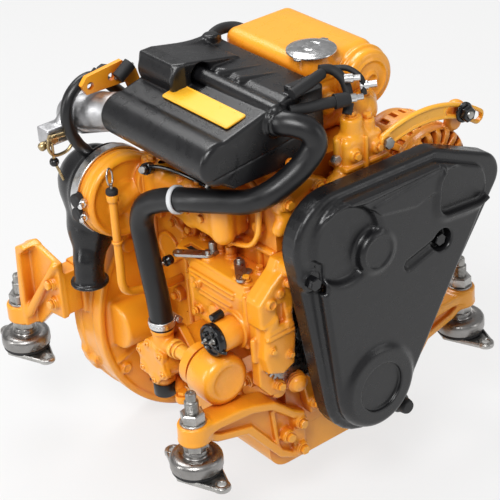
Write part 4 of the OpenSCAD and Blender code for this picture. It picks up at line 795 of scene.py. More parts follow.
cap = Kit("filler_cap_steel", polished, "zinc_steel", body="coolant_cap", nodes=["filler_cap"], smooth=30)
cap.put(turned([
    (0, -3), (14, -3), (14, 0.4), (24, 0.4), (27.4, -0.4), (28, 0.6), (27.6, 1.8), (25, 2.4), (22.5, 3.6),
    (19, 4.4), (12, 4.6), (11, 3.8), (9.4, 3.6), (8.6, 4.6), (3, 5.0), (0, 5.0)
], 72), (*neck, 356.2))
for a in (20, 200):
    c, s = polar(a)
    ear = [
        (24, -4.6, 0.2), (31, -4.4, -0.6), (32.4, -2.4, -0.8), (32.4, 2.4, -0.8), (31, 4.4, -0.6), (24, 4.6, 0.2)
    ]
    ear = ear + [(u, v, w + 1.7) for u, v, w in ear]
    verts = [(u * c - v * s, u * s + v * c, w) for u, v, w in ear]
    walls = [(k, (k + 1) % 6, 6 + (k + 1) % 6, 6 + k) for k in range(6)]
    cap.put((verts, [(5, 4, 3, 2, 1, 0), (6, 7, 8, 9, 10, 11)] + walls), (*neck, 356.4))
cap.done()


# Flexible mounts

mount_x, front_mount_y, rear_mount_y = 202.5, -288, 58
mount_places = [(x, y) for x in (-mount_x, mount_x) for y in (front_mount_y, rear_mount_y)]
ear_reach = 44


def base_field(p):
    # The two bases of the left side: each narrows from the dome to an ear with a hole at both ends
    x, y, z = p
    u = x + mount_x
    v = np.abs(np.abs(y - (front_mount_y + rear_mount_y) / 2) - (rear_mount_y - front_mount_y) / 2)
    t = np.clip(v / ear_reach, 0, 1)
    flat = np.sqrt(u ** 2 + (v - ear_reach * t) ** 2) - 28 + 18 * t
    ear = np.sqrt(u ** 2 + (v - ear_reach) ** 2)
    d = rounded(flat, between(z, -55, -51.4), 0.8)
    d = join(1.5, d, rounded(np.abs(flat + 1.6) - 1.3, between(z, -54, -49.4), 0.8))
    d = join(1, d, rounded(ear - 8.3, between(z, -54, -49.6), 0.7))
    return cut(0.4, d, rounded(ear - 5, between(z, -60, -40), 0.2))


both_sides("mount_base", base_field, (-232, -343, -56), (-173, 113, -48), 1.1, zinc, ["mount_bases"])

domes = Kit("mount_dome_caps", dome_metal, "zinc_steel", nodes=["mount_domes"], smooth=45)
rubbers = Kit("mount_rubber_rings", soft_rubber, "rubber", nodes=["mount_rubbers"], smooth=45)
studs = Kit("mount_stud_threads", dull_zinc, "zinc_steel", nodes=["mount_studs"], smooth=50)
nuts = Kit("mount_nuts_and_washers", zinc, "zinc_steel", nodes=["mount_nuts"])
for i, (x, y) in enumerate(mount_places):
    domes.put(turned([
        (0, -40), (26.8, -40), (27.2, -45.2), (28.4, -46), (29.6, -45.7), (30, -44.4), (30, -37), (29.6, -34.4),
        (28.4, -32.2), (26.4, -30.8), (23.6, -29.9), (20, -29.5), (17.5, -30.2), (16.2, -31), (14.2, -31),
        (13.4, -30.2), (13, -29), (13, -25), (12.2, -24.1), (0, -24.1)
    ], 72), (x, y, 0))
    rubbers.put(turned([
        (0, -51.2), (27.6, -51.2), (28.6, -50), (28.4, -48), (27, -46), (26.5, -41), (0, -41)
    ], 56), (x, y, 0))
    studs.put(threaded(7.9, 69.5, 1.9), (x, y, -29))
    studs.put(turned([(0, 0), (6.1, 0), (6.1, 7.6), (5.2, 9.2), (2, 9.4), (1.6, 8.4), (0, 8.2)], 32), (x, y, 40.4))
    nuts.put(hexagon(13.86, 12, 1.4), (x, y, -24), turn=20 + 23 * i)
    nuts.put(solid([(15, 0), (15, 1.9), (14.3, 2.5)], 40), (x, y, 11))
    nuts.put(hexagon(13.86, 12, 1.4), (x, y, 13.5), turn=8 + 31 * i)
for kit in (domes, rubbers, studs, nuts):
    kit.done()
ear_bolts = Kit("mount_ear_washers", dull_zinc, "zinc_steel")
for x, y in mount_places:
    for way in (-ear_reach, ear_reach):
        ear_bolts.put(ring_part(8.2, 5.1, 1.2, 0.3, 32), (x, y + way, -49.7))
ear_bolts.done()


# Front brackets: a top shelf and a lower flange on a thin web, with a lug on the block

arm_bolt_places = ((65, -50), (65, -86), (84, -60))
front_stud = (-mount_x, front_mount_y)


def front_arm_field(p):
    shelf = plate(p, Y, [
        (-206, 9), (-150, 8), (-128, 4), (-100, -5), (-72, -30), (-58, -38), (-58, -48), (-76, -40), (-104, -15),
        (-132, -6), (-176, -3), (-206, -6)
    ], -304, -272, 3)
    web = plate(p, Y, [
        (-190, 0), (-130, 0), (-98, -10), (-62, -42), (-58, -92), (-86, -88), (-134, -32), (-176, -22)
    ], -294, -287, 1)
    low = plate(p, Y, [
        (-196, -11), (-180, -21), (-138, -32), (-94, -87), (-74, -97), (-57, -97), (-57, -89), (-76, -87),
        (-90, -77), (-131, -24), (-174, -13), (-190, -4)
    ], -301, -278, 2.5)
    lug = plate(p, Y, [(-74, -96), (-74, -38), (-56, -40), (-56, -96)], -300, -290, 2.5)
    d = join(4, join(4, web, shelf), join(4, low, lug))
    rib = plate(p, Y, [(-104, -20), (-98, -16), (-92, -80), (-98, -74)], -299, -290, 1.5)
    d = join(3, d, rib)
    d = join(6, d, rod(p, Z, front_stud, -12, 11, 18, 2.4))
    d = join(2, d, rod(p, Z, front_stud, -12, -8, 18, 1))
    d = rods(2.5, d, p, Y, [(-u, v) for u, v in arm_bolt_places], -305, -290, 8.5, 1.6)
    return cut(0.5, d, rod(p, Z, front_stud, -20, 20, 8.5))


both_sides(
    "front_arm", front_arm_field, (-222, -307, -99), (-54, -269, 13), 1.4, enamel,
    ["front_bracket_left"], ["front_bracket_right"]
)
arm_bolts = Kit("front_arm_bolts", painted_bolt, "enamel")
for s in (-1, 1):
    for u, v in arm_bolt_places:
        hex_bolt(arm_bolts, (s * u, -304.6, v), FRONT, 6, 4.4, 7.6, 20 + v)
arm_bolts.done()


# Rear brackets: a wing with a hollow triangle, and the boss for the stud

wing_bolt_places = ((-16, 40), (-16, 66))
rear_stud = (-mount_x, rear_mount_y)


def rear_wing_field(p):
    d = plate(
        p, X, [(44, -10), (44, 28), (38, 100), (24, 107), (-29, 96), (-29, 22), (0, 18), (28, -10)], -196, -188, 1.8
    )
    rim = plate(
        p, X, [(44, -10), (44, 28), (38, 100), (24, 107), (15, 105), (30, 92), (33, 26), (34, -10)], -212, -188, 2.5
    )
    d = join(4, d, rim)
    brace = limb(p, (-198, -24, 92), (-205, 34, 8), 4.5, 6)
    d = join(5, d, brace)
    d = join(3, d, box(p, (-190, -29, 24), (-166, -3, 80), 2.5))
    d = join(7, d, rod(p, Z, rear_stud, -12, 11, 18, 2.4))
    d = join(5, d, plate(p, X, [(44, -11), (52, 11), (60, 11), (60, -11)], -210, -192, 2))
    d = rods(2, d, p, X, wing_bolt_places, -201, -188, 8, 1.6)
    return cut(0.5, d, rod(p, Z, rear_stud, -20, 20, 8.5))


both_sides(
    "rear_wing", rear_wing_field, (-223, -32, -14), (-164, 78, 109), 1.5, enamel,
    ["rear_bracket_left"], ["rear_bracket_right"]
)
wing_bolts = Kit("rear_wing_bolts", painted_bolt, "enamel")
for s in (-1, 1):
    for v, w in wing_bolt_places:
        hex_bolt(wing_bolts, (s * 200.6, v, w), (s, 0, 0), 6, 4.6, 7.6, 14 + w)
wing_bolts.done()


# Flywheel housing

rim_angles = [22.5 + 45 * i for i in range(8)]
rim_lobes = around((0, 0), 148, rim_angles)
rim_holes = around((0, 0), 158, rim_angles)
starter_axis = (134, -42)


def housing_field(p):
    x, y, z = p
    r = np.sqrt(x ** 2 + z ** 2)
    d = rounded(r - 163, between(y, -53, 0), 3)
    d = join(2, d, rounded(r - housing_r, between(y, -13, 0), 2))
    d = join(3, d, rounded(np.abs(r - 160) - 4, between(y, -55.5, -40), 1.6))
    d = join(5, d, box(p, (-168, -34, 20), (168, 0, 82), 3))
    d = join(8, d, rod(p, Y, starter_axis, -53, 0, 43, 4))
    d = join(7, d, rod(p, X, (-62, 5), -147, -95, 29.5, 4))
    for (u, w), hole in zip(rim_lobes, rim_holes):
        lobe = np.maximum(np.sqrt((x - u) ** 2 + (z - w) ** 2) - 26, r - 168.6)
        d = join(5, d, rounded(lobe, between(y, -11, 0), 1.5))
        d = join(3, d, rod(p, Y, hole, -22, 0, 10.8, 1.5))
    for a in (200, 232, 262, 300, 335):
        c, s = polar(a)
        d = join(4, d, limb(p, (60 * c, -54, 60 * s), (150 * c, -53, 150 * s), 2.6))
    d = join(2, d, rod(p, Y, (-133, -65), -57, -45, 7, 1.2), rod(p, Y, (-112, 100), -58, -45, 9, 1.5))
    d = cut(0.8, d, rod(p, Y, (-133, -65), -60, -56, 4.4, 0.4), rod(p, Y, (-95, -98), -60, -46, 4.2, 0.4))
    d = cut(1.5, d, rod(p, Y, (0, 0), -43, 5, 150), rod(p, Y, (0, 0), -60, 5, 37))
    d = cut(0.8, d, rod(p, Y, starter_axis, -60, -36, 20))
    for hole in rim_holes:
        d = cut(0.6, d, rod(p, Y, hole, -15, 5, 4.5))
    return np.maximum(d, -housing_r - z)


casting(
    "flywheel_housing_casting", housing_field, (-170, -95, -165), (178, 1, 168), 1.9, enamel,
    ["flywheel_housing"]
)


# Fuel pump and governor, with ridges along the side

solenoid = (-270, 87)


def governor_field(p):
    d = plate(p, Y, [
        (-72, 66), (-72, 141), (-106, 140), (-117, 136), (-121, 128), (-121, 92), (-117, 76), (-104, 67)
    ], -291, -186, 2.5)
    lid = plate(
        p, Z, [(-74, -286), (-74, -150), (-100, -150), (-116, -160), (-117, -282), (-112, -286)], 132, 143, 2
    )
    d = join(3, d, lid)
    d = cut(1, d, box(p, (-109, -203, 139), (-99, -165, 150), 1))
    for a, b, w in ((-268, -192, 129), (-266, -194, 123), (-262, -206, 112), (-262, -206, 106)):
        d = join(1.5, d, limb(p, (-121, a, w), (-121, b, w), 2.4))
    d = join(
        2, d, limb(p, (-119, -190, 120), (-119, -190, 70), 3.5), limb(p, (-119, -286, 132), (-119, -286, 70), 3.5)
    )
    d = join(2, d, rod(p, X, (-207, 118), -126, -116, 5.5, 1.5))
    d = join(2, d, rod(p, X, (-232, 92), -125, -110, 9, 2), rod(p, X, (-203, 82), -124, -110, 6, 1.5))
    d = join(4, d, limb(p, (-112, -196, 72), (-112, -270, 72), 8))
    d = join(3, d, rod(p, X, solenoid, -126, -110, 22, 2))
    d = rods(2, d, p, Z, ((-86, -222), (-86, -204)), 138, 148, 6.5, 1.2)
    for u, v, r in (
        (-92, -244, 8.5), (-106, -206, 7), (-84, -270, 7), (-108, -276, 5), (-82, -168, 6), (-110, -262, 4.5),
        (-96, -262, 5.5)
    ):
        d = join(2, d, rod(p, Z, (u, v), 138, 145.6, r, 1.4))
    return d


casting(
    "governor_casting", governor_field, (-128, -292, 63), (-71, -148, 149), 1.15, enamel,
    ["governor_housing"]
)

lid_screws = Kit("governor_screws", painted_bolt, "enamel")
for u, v in ((-84, -270), (-82, -168), (-108, -276)):
    hex_bolt(lid_screws, (u, v, 145.4), UP, 4.6, 4, 5.6, 10 + v)
for v, w in ((-207, 118), (-203, 82)):
    hex_bolt(lid_screws, (-126, v, w), LEFT, 3.6, 2.6, 4.6, 8)
lid_screws.done()
pins = Kit("governor_pins", dull_zinc, "zinc_steel", smooth=45)
pins.put(threaded(4.4, 17, 1.4, 1), (-96, -202, 141))
pins.put(hexagon(7, 5), (-96, -202, 143))
pins.put(solid([(6, 0), (6, 1), (4.4, 1.8)], 32), (-96, -262, 145.4))
pins.done()
slot_plate = Kit("governor_slot", flat_black, "black_plastic")
slot_corners = [(-108.4, -202.4), (-99.6, -202.4), (-99.6, -165.6), (-108.4, -165.6)]
slot_sides = [(k, k + 4, (k + 1) % 4 + 4, (k + 1) % 4) for k in range(4)]
slot_plate.put(([(*c, z) for z in (139.6, 138.6) for c in slot_corners], [(0, 1, 2, 3), (7, 6, 5, 4)] + slot_sides))
slot_plate.done()


# Timing case: a thin plate on the block, the posts of the belt cover, and two bodies at its left edge

case_line = [
    (-106, 6), (-60, 1), (-50, -45), (38, -45), (38, -59), (54, -59), (56, -45), (60, -30), (83, -6), (83, 118),
    (103, 134), (107, 146), (101, 152), (92, 153), (70, 149), (-56, 149), (-70, 173), (-86, 173), (-93, 160),
    (-120, 138), (-120, 24)
]
case_bolt_places = ((-96, 18), (-70, 8), (-46, -30), (0, -42), (72, 10), (80, 60), (80, 110), (40, 146), (-20, 146))


def case_field(p):
    d = plate(p, Y, case_line, -304, -290, 2)
    upper = plate(p, Y, [
        (-123, 134), (-122, 104), (-100, 102), (-76, 110), (-74, 158), (-84, 166), (-104, 152)
    ], -316, -290, 4)
    lower = plate(p, Y, [
        (-104, 116), (-116, 104), (-121, 66), (-116, 46), (-96, 38), (-80, 46), (-76, 84), (-80, 118)
    ], -319, -290, 5)
    d = join(3, d, upper, lower)
    d = join(2, d, limb(p, (-118, -315, 106), (-92, -316, 112), 2.6))
    d = join(2, d, limb(p, (-116, -318, 90), (-82, -319, 92), 2.6), limb(p, (-113, -318, 96), (-82, -319, 98), 1.8))
    d = join(2, d, limb(p, (-122, -300, 84), (-122, -300, 60), 4))
    d = join(2.5, d, rod(p, Y, (-108, 132), -320, -300, 6.5, 1.6), rod(p, Y, (-94, 140), -319, -300, 5, 1.5))
    d = cut(1.2, d, rod(p, Y, (-108, 132), -324, -318, 3.6, 0.5))
    d = cut(3, d, box(p, (-99, -324, 104), (-90, -312, 126), 2))
    d = rods(2, d, p, Y, ((-112, 76), (-88, 62), (-86, 100), (-84, 150)), -321, -300, 5, 1.2)
    d = rods(2, d, p, Y, (left_bolt, right_bolt, knob_place), -345, -290, 8, 1)
    d = rods(2.5, d, p, Y, case_bolt_places, -309, -290, 7, 1.4)
    return cut(0.5, d, rod(p, Y, (0, 0), -330, -280, 16))


casting(
    "timing_case_casting", case_field, (-128, -346, -66), (110, -289, 175), 1.5, enamel, ["timing_case"]
)
case_bolts = Kit("timing_case_bolts", painted_bolt, "enamel")
for u, v in case_bolt_places:
    hex_bolt(case_bolts, (u, -308.6, v), FRONT, 5.2, 4, 6.4, u)
for u, v in ((-112, 76), (-88, 62), (-84, 150)):
    hex_bolt(case_bolts, (u, -320.6, v), FRONT, 3.6, 2.4, 4.6, u)
case_bolts.done()

ribbed = Kit("ribbed_plug", enamel, "enamel", smooth=50)
profile = [(0, 0), (8, 0)]
for k in range(5):
    profile += [(11.5, 2 + 3.6 * k), (11.8, 3.4 + 3.6 * k), (9.6, 4.6 + 3.6 * k)]
ribbed.put(turned(profile + [(9, 21), (6, 23), (0, 23.6)], 40), (-70, -297, 15), (-0.25, -0.95, -0.12))
ribbed.put(solid([(6, 0), (6, 14), (5, 15)], 24), (-86, -290, 26), (-0.2, -0.95, -0.1))
ribbed.put(solid([(7, 0), (7, 10), (9, 11), (9, 14)], 24), (-92, -290, 8), (-0.1, -1, 0))
ribbed.done()


# Oil filter, stop solenoid and raw water pump

filter_kit = Kit("oil_filter_can", smooth_enamel, "enamel", nodes=["oil_filter"], smooth=50)
filter_kit.put(turned([
    (0, 0), (24, 0), (26, 1), (26.5, 3), (29.6, 4.5), (30.5, 6), (30.5, 30), (30.1, 34), (28.8, 37.4), (26.4, 39.8),
    (23.4, 41), (20.6, 41.2), (18.4, 40.2), (15, 39), (9, 38), (0, 37.8)
], 96), (-150, -245, 37), FRONT)
filter_kit.done()

stop_body = Kit("stop_solenoid_can", enamel, "enamel", smooth=45)
stop_body.put(solid([(18, 0), (18, 24), (17.4, 25.4), (17.4, 28)], 56), (-122, *solenoid), LEFT)
stop_body.done()
stop_cap = Kit("stop_solenoid_cap", gloss_black, "black_plastic", nodes=["stop_solenoid"], smooth=40)
stop_cap.put(turned([
    (0, 0), (18.6, 0), (19, 1), (19, 6.4), (18.2, 8), (16.4, 8.6), (15.6, 7.4), (14.8, 6.2), (6, 6), (5.4, 7.4),
    (0, 7.6)
], 64), (-150, *solenoid), LEFT)
for v, w in around(solenoid, 10.5, (20, 110, 200, 290)):
    stop_cap.put(solid([(2.6, 0), (2.6, 3), (1.8, 3.6)], 16), (-156, v, w), LEFT)
stop_cap.put(pipe(smooth_path([
    (-157, -258, 82), (-159, -270, 85), (-157.6, -284, 80), (-152, -291, 78)
], 5), 2.2, 10))
stop_cap.put(pipe([(-148, -262, 107), (-134, -262, 109)], 5, 12))
stop_cap.done()
stop_pins = Kit("stop_solenoid_terminals", dull_zinc, "zinc_steel")
for v, w in ((-263, 84), (-277, 90)):
    stop_pins.put(threaded(2, 8, 1), (-157, v, w), LEFT)
    stop_pins.put(hexagon(3.6, 2.6, 0.5), (-157.6, v, w), LEFT)
stop_pins.done()

pump_axis = (-160, 10)
pump_inlet = (-150, -161)
end_screw_places = around(pump_axis, 23, [60 * a + 20 for a in range(6)])
flange_bolt_places = ((-194, 8), (-162, 44), (-128, 6))


def water_pump_field(p):
    d = rod(p, X, pump_axis, -161, -118, 25, 2)
    end_plate = rod(p, X, pump_axis, -165, -157.5, 24, 1)
    end_plate = rods(5, end_plate, p, X, end_screw_places, -165, -157.5, 6.4, 1)
    d = join(1, d, end_plate)
    d = join(3, d, plate(p, X, [
        (-196, 20), (-172, 46), (-150, 46), (-124, 14), (-126, -6), (-150, -24), (-172, -24), (-194, 0)
    ], -132, -121, 2, 2))
    d = join(4, d, rod(p, X, pump_axis, -121, -75, 20, 2))
    d = join(5, d, rod(p, Z, pump_outlet, 10, 54, 12.5, 1))
    d = join(1.5, d, rod(p, Z, pump_outlet, 49, 53.5, 13.6, 1))
    d = join(5, d, rod(p, Z, pump_inlet, -38, 0, 11, 1))
    d = join(1.5, d, rod(p, Z, pump_inlet, -19, -13, 14, 1))
    d = join(3, d, limb(p, (-150, -176, 34), (-150, -186, 36), 10, 9.4))
    d = rods(2, d, p, X, (*flange_bolt_places, (-160, -20)), -136, -125, 6.6, 1.5)
    return join(3, d, box(p, (-156, -162, -16), (-134, -158, 36), 1.5))


casting(
    "raw_water_pump_casting", water_pump_field, (-167, -200, -40), (-73, -120, 55), 1.15, enamel,
    ["raw_water_pump"]
)
pump_screws = Kit("raw_water_pump_screws", painted_bolt, "enamel")
end_screw = solid([(4.2, 0), (4.2, 1.6), (3.4, 2.8), (1.6, 3.2), (1.4, 2.2)], 24)
for v, w in end_screw_places:
    pump_screws.put(end_screw, (-164.6, v, w), LEFT)
for v, w in flange_bolt_places:
    hex_bolt(pump_screws, (-135.6, v, w), LEFT, 4.6, 3.6, 5.6, w)
pump_screws.done()
oil_pipe = Kit("oil_cooler_pipe", bright_pipe, "enamel", smooth=45)
oil_pipe.put(pipe([(-150, -180, 35), (-150, -190, 35.6), (-150, -246, 38)], [9.4, 8.2, 8.2], 32))
oil_pipe.put(ring_part(11.4, 7, 6, 1, 40), (-150, -186, 35.4), FRONT)
oil_pipe.put(ring_part(10.4, 7, 3, 0.6, 40), (-150, -196, 35.8), FRONT)
oil_pipe.put(ring_part(14.5, 7, 8, 1.4, 48), (-150, -236, 37.6), FRONT)
oil_pipe.done()
stub = Kit("water_inlet_hose_stub", hose_rubber, "rubber", smooth=45)
stub.put(solid([(12.6, 0), (13.4, 0.8), (13.4, 15), (12.8, 16)], 40), (*pump_inlet, -38.4))
stub.done()
banjo = Kit("drain_banjo", enamel, "enamel", smooth=45)
banjo.put(pipe(smooth_path([(-136, -164, -24), (-140, -176, -30), (-144, -186, -34)], 5), 6, 16))
banjo.put(solid([(8.4, 0), (9, 1), (9, 8), (8.4, 9)], 28), (-146, -190, -38))
banjo.put(hexagon(6.6, 5), (-146, -190, -29))
banjo.done()


# Thermostat housing and the castings round it

def thermostat_field(p):
    d = box(p, (6, -317, 226), (60, -290, 284), 7)
    d = join(3, d, box(p, (8, -300, 190), (60, -290, 230), 3))
    d = join(5, d, rod(p, Z, (26, -303), 262, 304, 12, 3))
    d = join(6, d, limb(p, (30, -301, 280), (60, -282, 296), 13, 15))
    d = join(6, d, limb(p, (58, -284, 294), (74, -268, 296), 16, 15))
    d = join(4, d, rod(p, Z, (46, -306), 270, 296, 8, 2))
    d = join(1.5, d, box(p, (3, -319, 248), (64, -288, 254), 1.8), box(p, (3, -319, 236), (64, -288, 240.5), 1.5))
    d = join(4, d, rod(p, Y, (16, 266), -322, -300, 7, 2), rod(p, Y, (48, 266), -322, -300, 8, 2))
    d = join(2, d, limb(p, (32, -318, 226), (32, -319, 282), 2.6), limb(p, (4, -304, 228), (4, -304, 282), 4))
    d = join(
        4, d, limb(p, (4, -306, 238), (-16, -306, 226), 11, 12), limb(p, (36, -312, 226), (44, -306, 196), 9, 11)
    )
    return np.maximum(d, -322 - p[Y])


casting(
    "thermostat_casting", thermostat_field, (-30, -322, 188), (92, -250, 314), 1.3, smooth_enamel,
    ["thermostat_housing"]
)
thermo_bolts = Kit("thermostat_bolts", painted_bolt, "enamel")
for x, y, z in ((26, -303, 303), (46, -306, 295), (62, -284, 309)):
    hex_bolt(thermo_bolts, (x, y, z), UP, 5.4, 5, 7, x)
for x, z in ((16, 266), (48, 266), (10, 232), (56, 232)):
    hex_bolt(thermo_bolts, (x, -320.4 if z > 250 else -317, z), FRONT, 4.6, 3.6, 5.8, x)
thermo_bolts.done()


def lug_field(p):
    d = plate(p, Y, [
        (-80, 226), (-82, 250), (-64, 262), (-46, 260), (-28, 250), (-10, 242), (-12, 230), (-34, 238), (-50, 228),
        (-58, 214), (-72, 212)
    ], -304, -289, 3)
    d = join(3, d, rod(p, Y, (-70, 236), -308, -289, 9, 2), rod(p, Y, (-26, 242), -308, -289, 7, 2))
    d = join(4, d, limb(p, (-66, -298, 220), (-78, -300, 206), 9, 8))
    return join(3, d, limb(p, (-46, -298, 258), (-46, -286, 268), 7, 6))


casting("injector_lug_casting", lug_field, (-92, -309, 196), (-6, -279, 276), 1.2, enamel)
lug_bolts = Kit("injector_lug_bolts", painted_bolt, "enamel")
hex_bolt(lug_bolts, (-70, -307.6, 236), FRONT, 5.6, 4.6, 7)
hex_bolt(lug_bolts, (-26, -307.6, 242), FRONT, 4.6, 4, 6, 3)
lug_bolts.done()

coolant_axis = (-30, 200)


def pump_body_field(p):
    d = rod(p, Y, coolant_axis, -318, -290, 31, 4)
    d = join(3, d, rod(p, Y, coolant_axis, -298, -290, 36, 1.5))
    d = join(5, d, limb(p, (-30, -304, 210), (10, -304, 232), 12, 13))
    d = rods(3, d, p, Y, around(coolant_axis, 33, [72 * a + 30 for a in range(5)]), -302, -290, 6.5, 1.5)
    return cut(0.5, d, rod(p, Y, coolant_axis, -330, -311, 26), rod(p, Y, coolant_axis, -330, -280, 9))


casting(
    "coolant_pump_casting", pump_body_field, (-72, -319, 158), (26, -289, 250), 1.4, enamel,
    ["coolant_pump"]
)


# Alternator with its cooling slots, and the adjusting strap

alternator_axis = (136, 200)
hinge = (110, 128)
strap_r = 150
strap_bolt_place = (173.4, 263.9)


def slots(a, r, count, width):
    # Distance along the circle of radius r to the nearest of count slots of half this width
    return np.abs(((a * count / (2 * math.pi)) % 1) - 0.5) * 2 * math.pi * r / count - width


def alternator_field(p):
    x, y, z = p
    u, w = x - alternator_axis[0], z - alternator_axis[1]
    r = np.sqrt(u ** 2 + w ** 2)
    a = np.arctan2(w, u)
    d = rounded(r - 54, between(y, -302, -248), 3)
    d = join(3, d, rounded(r - 51, between(y, -316.6, -231), 9))
    fins = slots(a, r, 20, 2.6)
    d = cut(1.2, d, np.maximum(np.maximum(-fins + 0.8, np.abs(r - 41) - 7.5), between(y, -330, -306)))
    d = cut(1.2, d, np.maximum(np.maximum(-fins + 0.8, np.abs(r - 36) - 9), between(y, -240, -220)))
    side = slots(a, r, 24, 2.8)
    for low, high in ((-300, -288), (-262, -250)):
        d = cut(1, d, np.maximum(np.maximum(side, 48 - r), between(y, low, high)))
    d = cut(1.2, d, rounded(r - 46, between(y, -300, -250), 2))
    d = join(3, d, rod(p, Y, alternator_axis, -316.6, -306, 22, 2), rod(p, Y, alternator_axis, -300, -250, 40, 2))
    d = join(4, d, limb(p, (168, -311, 250), (173.4, -311, 263.9), 10, 11))
    d = join(5, d, limb(p, (122, -263, 152), (110, -263, 128), 11, 12))
    d = both(0.5, d, between(y, -316.7, -230.7))
    lower = cut(0, d, box(p, (80, -330, 100), (140, -275.6, 141)), box(p, (80, -250.4, 100), (140, -220, 141)))
    return cut(0.4, lower, rod(p, Y, hinge, -290, -240, 5.2), rod(p, Y, alternator_axis, -330, -220, 8.6))


casting(
    "alternator_casting", alternator_field, (80, -318, 114), (192, -230, 277), 1.35, alternator_paint,
    nodes=["alternator"], body="alternator_body"
)
alt_bolts = Kit("alternator_bolts", dull_zinc, "aluminium", "alternator_body")
for u, w in around(alternator_axis, 49.5, (35, 125, 215, 305)):
    hex_bolt(alt_bolts, (u, -232, w), BACK, 4.4, 3.4, 5.4)
alt_bolts.put(solid([(10, 0), (10, 3)], 24), (160, -233, 200), BACK)
alt_bolts.put(threaded(3, 12, 1.2), (160, -231, 200), BACK)
alt_bolts.done()


def strap_field(p):
    x, y, z = p
    u, w = x - hinge[0], z - hinge[1]
    r = np.sqrt(u ** 2 + w ** 2)
    a = np.degrees(np.arctan2(w, u))
    along = np.abs(a - 82.5) * strap_r * math.pi / 180 - 30.5 * strap_r * math.pi / 180
    flat = rounded(np.abs(r - strap_r) - 9, along, 6)
    slot = np.abs(a - 64) * strap_r * math.pi / 180 - 10 * strap_r * math.pi / 180
    hole = np.sqrt((r - strap_r) ** 2 + np.maximum(slot, 0) ** 2) - 4.6
    d = rounded(flat, between(y, -322, -317), 1)
    d = join(1.5, d, rounded(np.abs(flat + 1.6) - 1.4, between(y, -323.5, -318), 0.8))
    d = join(1, d, rounded(np.abs(hole - 1.2) - 1.1, between(y, -323, -318), 0.6))
    d = join(2, d, rod(p, Y, (58, 268), -324, -316, 9, 1.2))
    return cut(0.4, d, np.maximum(hole, between(y, -330, -310)))


casting(
    "adjusting_strap_casting", strap_field, (40, -325, 234), (214, -315, 290), 1.1, yellow_enamel,
    ["adjusting_strap"]
)
strap_bolt = Kit("strap_bolt", gloss_black, "black_plastic", smooth=40)
strap_bolt.put(solid([(12, 0), (12, 1.8), (11, 2.6)], 36), at_y(strap_bolt_place, -323), FRONT)
strap_bolt.put(hexagon(9.6, 8.6, 1.4), at_y(strap_bolt_place, -325), FRONT, 12)
strap_bolt.done()
strap_stud = Kit("strap_stud", dull_zinc, "zinc_steel", smooth=40)
strap_stud.put(solid([(5, 0), (5, 11), (4, 12.4)], 28), at_y(strap_bolt_place, -323), FRONT)
strap_stud.put(hexagon(7, 5), (58, -324, 268), FRONT, 9)
strap_stud.done()


# Intake elbow in cast aluminium, throttle linkage, breather hose and lifting eye bolts

intake_line = [
    (-128, -96, 290), (-128, -84, 290), (-134, -66, 287), (-143, -46, 282), (-146, -28, 275), (-136, -14, 265),
    (-110, -6, 256), (-70, -4, 244), (-20, -4, 234), (30, -6, 224), (68, -14, 214), (90, -30, 206), (98, -50, 201),
    (98, -70, 200), (98, -88, 200)
]


def intake_field(p):
    x, y, z = p
    d = chain(p, [(q, 19.4) for q in intake_line], 7)
    for q, way in ((3, 5), (6, 7)):
        a, b = Vector(intake_line[q]), Vector(intake_line[way])
        n = (b - a).normalized()
        along = (x - a.x) * n.x + (y - a.y) * n.y + (z - a.z) * n.z
        off = np.sqrt(np.maximum((x - a.x) ** 2 + (y - a.y) ** 2 + (z - a.z) ** 2 - along ** 2, 0))
        d = join(2, d, rounded(off - 23.5, np.abs(along) - 3.6, 1))
    d = join(
        6, d, limb(p, (-146, -28, 270), (-178, -34, 262), 13, 10), limb(p, (-150, -34, 290), (-176, -36, 268), 9, 8)
    )
    d = join(2, d, limb(p, (-128, -92, 274), (-150, -46, 262), 5), limb(p, (-132, -60, 300), (-158, -30, 290), 4))
    frame_box = box(p, (-196, -46, 255), (-158, -24, 275), 2)
    frame_box = cut(0.8, frame_box, box(p, (-191, -60, 260), (-163, 0, 270), 1.5))
    return join(2, d, frame_box)


casting(
    "intake_elbow_casting", intake_field, (-200, -100, 176), (122, 18, 314), 1.7, cast_aluminium,
    ["intake_elbow"]
)
linkage = Kit("throttle_linkage", brass, "zinc_steel", smooth=45)
linkage.put(pipe([(-194, -50, 262), (-194, -50, 240), (-186, -52, 214)], 1.7, 10))
linkage.put(pipe([(-196, -48, 268), (-168, -50, 266)], 3, 12))
linkage.put(hexagon(6, 5), (-190, -46, 265), FRONT)
linkage.put(hexagon(6, 5), (-168, -46, 265), FRONT)
linkage.put(solid([(4, 0), (5, 3), (5, 7), (3.4, 9)], 20), (-196, -40, 258), (-1, 0, -0.3))
linkage.put(pipe(smooth_path([
    (-196, -48, 268), (-199, -50, 256), (-192, -50, 246), (-176, -50, 246), (-166, -50, 254)
], 5), 2, 10))
linkage.done()
linkage_knob = Kit("throttle_ball_joint", gloss_black, "black_plastic", smooth=60)
linkage_knob.put(turned([(0, 0), (4, 0.6), (5.4, 3), (5.4, 6), (4, 8.4), (0, 9)], 24), (-194, -50, 234))
linkage_knob.done()

